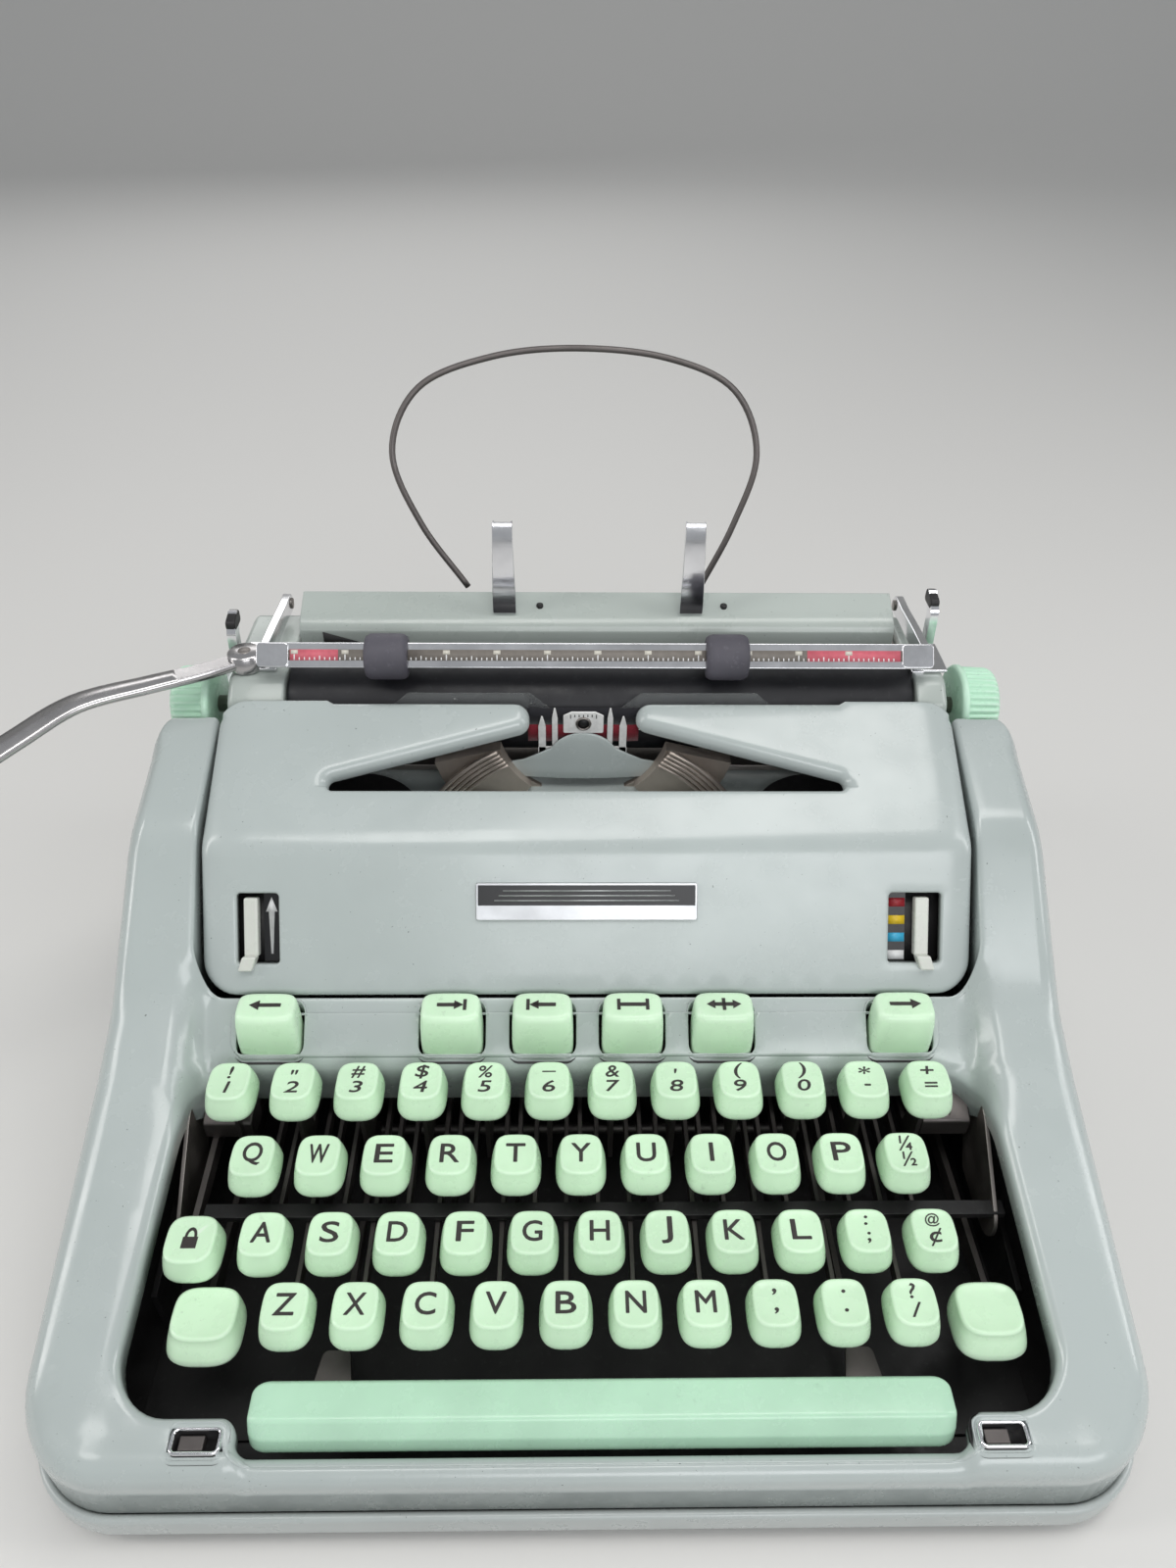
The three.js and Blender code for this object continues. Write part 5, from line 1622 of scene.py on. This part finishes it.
PLATEN_Y, PLATEN_Z, PLATEN_RADIUS = 222.7, 133.4, 16
PLATEN_X = (-105.4, 115.4)
BAIL_Y, BAIL_Z = 216.5, 157.4
BAIL_PIVOT = (256, 156)
BAIL_ARMS = (-112, 118)
SCALE_TILT = math.radians(50)
SCALE_HALF = 1.9
TICK_PITCH = 1.74
TICK_MARGIN = 11
ROLLER_BORE = 2.7
SHAFT_END = 134.5
SHAFT_RADIUS = 3
TABLE_SCREWS = (-17.4, 51)
WIRE_RADIUS = 1.15
WIRE_SIDES = 14
LEVER_HUB = (-120.5, 222, 0)


def build_platen():
    x0, x1 = PLATEN_X
    edge = 0.8
    profile = [(x0, 0.0), (x0, PLATEN_RADIUS - edge - 0.4), (x0 + 0.2, PLATEN_RADIUS - edge * 0.4),
               (x0 + edge, PLATEN_RADIUS), (x1 - edge, PLATEN_RADIUS), (x1 - 0.2, PLATEN_RADIUS - edge * 0.4),
               (x1, PLATEN_RADIUS - edge - 0.4), (x1, 0.0)]
    axis = (0, PLATEN_Y, PLATEN_Z)
    piece("platen", *round_part(profile, "x", axis, 96), "platen_rubber", "platen", ["platen"],
          "platen_rubber")
    for side, name in ((-1, "left"), (1, "right")):
        inner = (PLATEN_X[0] if side < 0 else PLATEN_X[1])
        outer = side * SHAFT_END
        shaft = [(inner, 0.0), (inner, SHAFT_RADIUS), (outer, SHAFT_RADIUS), (outer, 0.0)]
        piece(f"platen_shaft_{name}", *round_part(shaft, "x", axis, 24), "steel", "platen", slot="steel")
        build_knob(side, name)


def build_knob(side, name):
    """A ribbed knob with a flange next to the end cover and a sunk outer face."""
    node = "platen_knob_" + name
    low, high = node_box(node)
    length, radius = high.x - low.x, (high.z - low.z) / 2
    ribs, per_rib = 36, 6
    table = [(0.0, 4.0, 0), (0.0, radius - 1.4, 0), (0.4, radius - 0.4, 0), (1.2, radius, 0),
             (2.2, radius, 0),
             (2.6, radius - 0.5, 0.3), (3.2, radius - 0.7, 1), (length - 2.6, radius - 1.1, 1),
             (length - 1.5, radius - 1.5, 0.8), (length - 0.6, radius - 2.3, 0.3),
             (length - 0.1, radius - 3.3, 0),
             (length, radius - 4.2, 0), (length - 0.2, radius - 5.0, 0), (length - 1.4, radius - 5.6, 0),
             (length - 1.6, radius - 6.6, 0), (length - 1.6, 4.6, 0), (length - 0.8, 3.8, 0),
             (length - 0.6, 0.2, 0)]
    count = ribs * per_rib
    start = low.x if side > 0 else high.x
    rows = []
    for along, size, depth in table:
        row = []
        for k in range(count):
            angle = 2 * math.pi * k / count
            groove = 0.5 * (1 - math.cos(ribs * angle))
            r = size - 1.0 * depth * (1 - groove ** 0.6)
            row.append((start + side * along, PLATEN_Y + r * math.cos(angle), PLATEN_Z + r * math.sin(angle)))
        rows.append(row)
    part = grid(rows, close_v=True, cap_start=True, cap_end=True)
    piece(node, *part, "mint_knob", "platen", [node], "key_plastic")


def build_end_cover(side, name):
    """The painted box round the end of the carriage."""
    node = "carriage_end_" + name
    low, high = node_box(node)
    outer = low.x if side < 0 else high.x
    inner = high.x if side < 0 else low.x
    y0, y1, z0, z1 = low.y, high.y, low.z, high.z
    outline = rounded_outline([(y0, z0), (y1, z0), (y1, z1), (y0 + 8, z1), (y0, z1 - 6)], [2, 3, 5, 7, 5], 7)
    middle_y, middle_z = (y0 + y1) / 2, (z0 + z1) / 2
    rows = []
    turns = 6
    edge = 2.4
    stations = [(edge * (1 - math.cos(math.pi / 2 * k / turns)),
                 edge * (1 - math.sin(math.pi / 2 * k / turns)))
                for k in range(turns + 1)]
    span = abs(outer - inner)
    stations += [(span - 0.8, 0.0), (span - 0.2, 0.2), (span, 0.8)]
    for along, inset in stations:
        x = outer - side * along
        half_y, half_z = (y1 - y0) / 2, (z1 - z0) / 2
        shrink_y, shrink_z = 1 - inset / half_y, 1 - inset / half_z
        rows.append([(x, middle_y + (y - middle_y) * shrink_y, middle_z + (z - middle_z) * shrink_z)
                     for y, z in outline])
    part = grid(rows, close_v=True, cap_start=True, cap_end=True)
    piece(node, *part, "enamel_carriage", "carriage", [node], "enamel")
    clip_x = (outer + inner) / 2
    clip = swept([(clip_x, y0 + 12, z1 + 0.9), (clip_x, y0 + 20, z1 + 1.1), (clip_x, y0 + 30, z1 + 1.0)],
                 [(-6.5, -0.6), (6.5, -0.6), (6.5, 0.6), (-6.5, 0.6)])
    bevel(piece(f"end_clip_{name}", *clip, "chrome", "carriage", slot="chrome"), 0.4, 3)
    nib = box_part((clip_x - 6.5, clip_x - 2), (y0 + 11.2, y0 + 12.6), (z1 - 3.4, z1 + 1.4))
    bevel(piece(f"end_clip_nib_{name}", *nib, "chrome", "carriage", slot="chrome"), 0.4, 3)


def build_paper_table():
    """The painted plate behind the platen with its rolled top flange."""
    low, high = node_box("paper_table")
    x0, x1 = low.x, high.x
    line = [(241.8, 126), (242.4, 148.6), (243.0, 152.8), (245.2, 155.4), (249, 157.2), (256.9, 160.7)]
    line = [(p[1], p[2]) for p in smooth_path([(0, y, z) for y, z in line], 5)]
    section = [(y, z) for y, z in line]
    back = [(y + 0.9, z - 1.1) for y, z in reversed(line)]
    part = prism_part(section + back, "x", (x0, x1))
    bevel(piece("paper_table", *part, "enamel_carriage", "carriage", ["paper_table"], "enamel"), 0.4, 3, 50)
    recess = prism_part([(x0 + 8.6, 145.0), (x0 + 30.6, 145.0), (x0 + 8.6, 152.0)], "y", (241.6, 241.9))
    piece("paper_table_cut_out", *recess, "black_paint", "carriage", slot="black_metal")
    for x in TABLE_SCREWS:
        head = round_part([(157.5, 0.0), (157.5, 1.4), (158.8, 1.2), (158.8, 0.0)], "z", (x, 251, 0), 16)
        piece(f"table_screw_{'left' if x < 0 else 'right'}", *head, "black_paint", "carriage",
              slot="black_metal")


def build_fingers():
    """Two chrome channels that stand up from the paper table and hold the sheet."""
    for node in ("paper_finger_left", "paper_finger_right"):
        low, high = node_box(node)
        x = (low.x + high.x) / 2
        half = (high.x - low.x) / 2
        wall = 0.8
        channel = [(-half, -1.2), (half, -1.2), (half, 2.4), (half - wall, 2.4), (half - wall, -0.4),
                   (-half + wall, -0.4), (-half + wall, 2.4), (-half, 2.4)]
        y = low.y + 1.6
        path = smooth_path([(x, y + 0.2, low.z), (x, y, low.z + 6), (x, y + 0.6, low.z + 16),
                            (x, y + 2.4, high.z - 6), (x, y + 4.2, high.z)], 6)

        def section(t):
            narrow = 1 - 0.16 * ease((t - 0.1) / 0.8)
            return [(a * narrow, b) for a, b in channel]

        part = swept(path, section, up=(0, 1, 0))
        part = bent(part, lambda px, py, pz: (px, min(max(py, low.y), high.y), min(max(pz, low.z), high.z)))
        bevel(piece(node, *part, "chrome", "carriage", [node], "chrome"), 0.3, 2)


def build_wire():
    """The folding wire that holds long sheets up."""
    points = [(-44.6, 262, 160), (-61, 266, 184), (-70, 273, 208), (-60, 282, 228), (-34, 288, 237),
              (-4, 290, 239.5),
              (28, 288, 237), (52, 282, 228), (61, 273, 208), (54, 266, 184), (42.9, 262, 160)]
    path = smooth_path(points, 10)
    turns = [2 * math.pi * k / WIRE_SIDES for k in range(WIRE_SIDES)]
    section = [(WIRE_RADIUS * math.cos(a), WIRE_RADIUS * math.sin(a)) for a in turns]
    part = swept(path, section, up=(0, 1, 0))
    piece("paper_support_wire", *part, "lever_steel", "paper_support", ["paper_support_wire"], "chrome")


def tilted(part):
    """Turns a part made about the bail's scale line so that its face looks up at the typist."""
    cos, sin = math.cos(SCALE_TILT), math.sin(SCALE_TILT)
    y0, z0 = BAIL_Y - 1.6, BAIL_Z + 1.4
    return bent(part, lambda px, py, pz: (px, y0 + py * cos - pz * sin, z0 + py * sin + pz * cos))


def build_bail():
    """The paper bail: rod, ruled scale between chrome edges and two flat arms."""
    x0, x1 = BAIL_ARMS
    rod = round_part([(x0, 0.0), (x0, 2.2), (x1, 2.2), (x1, 0.0)], "x", (0, BAIL_Y, BAIL_Z), 24)
    plate = tilted(box_part((x0 + 1, x1 - 1), (-4.4, 4.4), (0.2, 1.0)))
    arms = []
    for x in (x0, x1):
        py, pz = BAIL_PIVOT
        reach = math.dist((BAIL_Y, BAIL_Z), BAIL_PIVOT)
        outline = arc((0, 0), 3.7, 90, 270, 12) + [(reach * 0.4, -3.2), (reach * 0.8, -2.8)]
        outline += arc((reach, 0), 3.4, -80, 80, 10) + [(reach * 0.8, 3.0), (reach * 0.4, 3.6)]
        turn = math.atan2(pz - BAIL_Z, py - BAIL_Y)
        points = [(BAIL_Y + a * math.cos(turn) - b * math.sin(turn),
                   BAIL_Z + a * math.sin(turn) + b * math.cos(turn))
                  for a, b in outline]
        arms.append(prism_part(points, "x", (x - 1.5, x + 1.5)))
        inward = 1 if x < 0 else -1
        fold = tilted(prism_part(rounded_outline(
            [(x - inward * 2, -4.2), (x + inward * 9, -4.2), (x + inward * 9, 4.2),
             (x - inward * 2, 4.2)], 1.4, 4),
            "z", (0.9, 1.7)))
        arms.append(fold)
    bail = piece("paper_bail", *merged(rod, plate, *arms), "chrome", "bail", ["paper_bail"], "chrome")
    bevel(bail, 0.35, 3)
    strip = tilted(box_part((x0 + 9, x1 - 9), (-SCALE_HALF, SCALE_HALF), (0.95, 1.12)))
    piece("bail_scale", *strip, "scale_dark", "bail", slot="chrome")
    marks, tens, reds = [], [], []
    count = int((x1 - x0 - 2 * TICK_MARGIN) / TICK_PITCH)
    for k in range(count + 1):
        x = x0 + TICK_MARGIN + k * TICK_PITCH
        ten = k % 10 == 0
        tall = 2.0 if ten else (1.5 if k % 5 == 0 else 1.0)
        tick = tilted(box_part((x - 0.2, x + 0.2), (-1.8, -1.8 + tall), (1.1, 1.17)))
        near_end = k < 11 or k > count - 18
        (reds if near_end else marks).append(tick)
        if ten:
            dot = tilted(box_part((x - 1.2, x + 1.2), (0.3, 1.7), (1.1, 1.17)))
            tens.append(dot)
    piece("bail_ticks", *merged(*marks), "print_white", "bail", slot="chrome")
    piece("bail_end_ticks", *merged(*reds), "print_white", "bail", slot="chrome")
    piece("bail_tens", *merged(*tens), "scale_mark", "bail", slot="chrome")
    for name, span in (("left", (x0 + 9.5, x0 + 26)), ("right", (x1 - 42, x1 - 9.5))):
        part = tilted(box_part(span, (-SCALE_HALF, SCALE_HALF), (1.08, 1.15)))
        piece(f"bail_red_zone_{name}", *part, "scale_red", "bail", slot="chrome")
    for x, name in ((x0, "left"), (x1, "right")):
        rivet = [(-2.0, 0.0), (-2.0, 2.0), (0.0, 2.2), (2.0, 2.0), (2.0, 0.0)]
        part = round_part([(x + a, r) for a, r in rivet], "x", (0, *BAIL_PIVOT), 20)
        piece(f"bail_pivot_{name}", *part, "steel", "bail", slot="steel")


def build_bail_rollers():
    for node in ("bail_roller_left", "bail_roller_right"):
        low, high = node_box(node)
        radius, bore = (high.z - low.z) / 2, ROLLER_BORE
        edge = 1.6
        profile = [(low.x, bore), (low.x, radius - 2.6), (low.x + 0.4, radius - 1.0),
                   (low.x + edge, radius - 0.2),
                   (low.x + edge * 1.8, radius), (high.x - edge * 1.8, radius), (high.x - edge, radius - 0.2),
                   (high.x - 0.4, radius - 1.0), (high.x, radius - 2.6), (high.x, bore)]
        part = round_part(profile + [profile[0]], "x", (0, BAIL_Y, BAIL_Z), 48)
        piece(node, *part, "roller_rubber", node, [node], "roller_rubber")


def build_return_lever():
    """The long line-space lever, widening from its hub to its curved handle."""
    path = smooth_path([(-122, 221, 152.8), (-134, 213.5, 152.6), (-150, 205.6, 152.6), (-171, 195, 152),
                        (-186, 179.5, 148.6), (-203, 158, 144.4), (-214.5, 139.5, 141.6)], 8)

    def section(t):
        half = 3.6 + 1.6 * ease(t / 0.7)
        thick = 1.7 - 0.3 * t
        tip = math.sqrt(max(0.08, 1 - max(0.0, (t - 0.94) / 0.06) ** 2))
        loop = [(-half, -thick * 0.4), (-half * 0.8, -thick), (half * 0.8, -thick), (half, -thick * 0.4),
                (half, thick * 0.4), (half * 0.8, thick), (-half * 0.8, thick), (-half, thick * 0.4)]
        return [(a * tip, b) for a, b in loop]

    handle = swept(path, section)
    high = node_box("carriage_return_lever")[1]
    hub = round_part([(149.9, 0.0), (149.9, 6), (155.6, 6), (156.3, 5.2), (156.3, 0.0)], "z", LEVER_HUB, 32)
    obj = piece("carriage_return_lever", *merged(handle, hub), "lever_steel_bright", "return_lever",
                ["carriage_return_lever"], "chrome")
    bevel(obj, 0.3, 2, 50)
    top = min(high.z, 156.4)
    rivet = round_part([(top - 0.6, 0.0), (top - 0.6, 2.6), (top, 2.2), (top, 0.0)], "z", LEVER_HUB, 24)
    piece("return_lever_rivet", *rivet, "steel", "return_lever", slot="steel")


def build_small_levers():
    for node, body in (("carriage_release_lever", "carriage_release"),
                       ("paper_release_lever", "paper_release")):
        low, high = node_box(node)
        y0, y1, z0, z1 = low.y, high.y, low.z, high.z
        x0, x1 = low.x, high.x
        stem = rounded_outline([(y0 + 2, z0), (y0 + 8, z0), (y0 + 9, z1 - 8), (y1 - 0.5, z1 - 1.4),
                                (y1 - 3, z1 - 0.2),
                                (y0 + 4.4, z1 - 5)], [3, 3, 4, 1.2, 1.2, 5], 5)
        part = prism_part(stem, "x", (x0 + 0.2, x1 - 0.2))
        bevel(piece(node, *part, "chrome", body, [node], "chrome"), 0.6, 3)
        tab = prism_part(rounded_outline([(y1 - 9, z1 - 5.6), (y1 - 0.5, z1 - 5.6), (y1 - 0.5, z1 - 0.2),
                                          (y1 - 9, z1 - 2)], 1.6, 5), "x", (x0 + 0.05, x1 - 0.05))
        bevel(piece(node + "_pad", *tab, "black_paint", body, slot="black_metal"), 0.5, 3)


def build_carriage_frame():
    for node, material in (("carriage_frame", "steel"), ("carriage_rail", "steel"),
                           ("mainspring_drum", "steel"),
                           ("margin_stop_left", "black_paint"), ("margin_stop_right", "black_paint")):
        finish(node, material)
        soften(node, 0.4)


# ---- the whole machine --------------------------------------------------------------------

make_camera()
make_materials()
make_studio()
build_base()
build_housing()
build_chassis()
build_cover()
build_key_rows()
build_function_keys()
build_shift_keys()
build_space_bar()
build_segment()
build_dome()
build_guide()
build_ribbon()
build_spools()
build_platen()
build_end_cover(-1, "left")
build_end_cover(1, "right")
build_paper_table()
build_fingers()
build_wire()
build_bail()
build_bail_rollers()
build_return_lever()
build_small_levers()
build_carriage_frame()
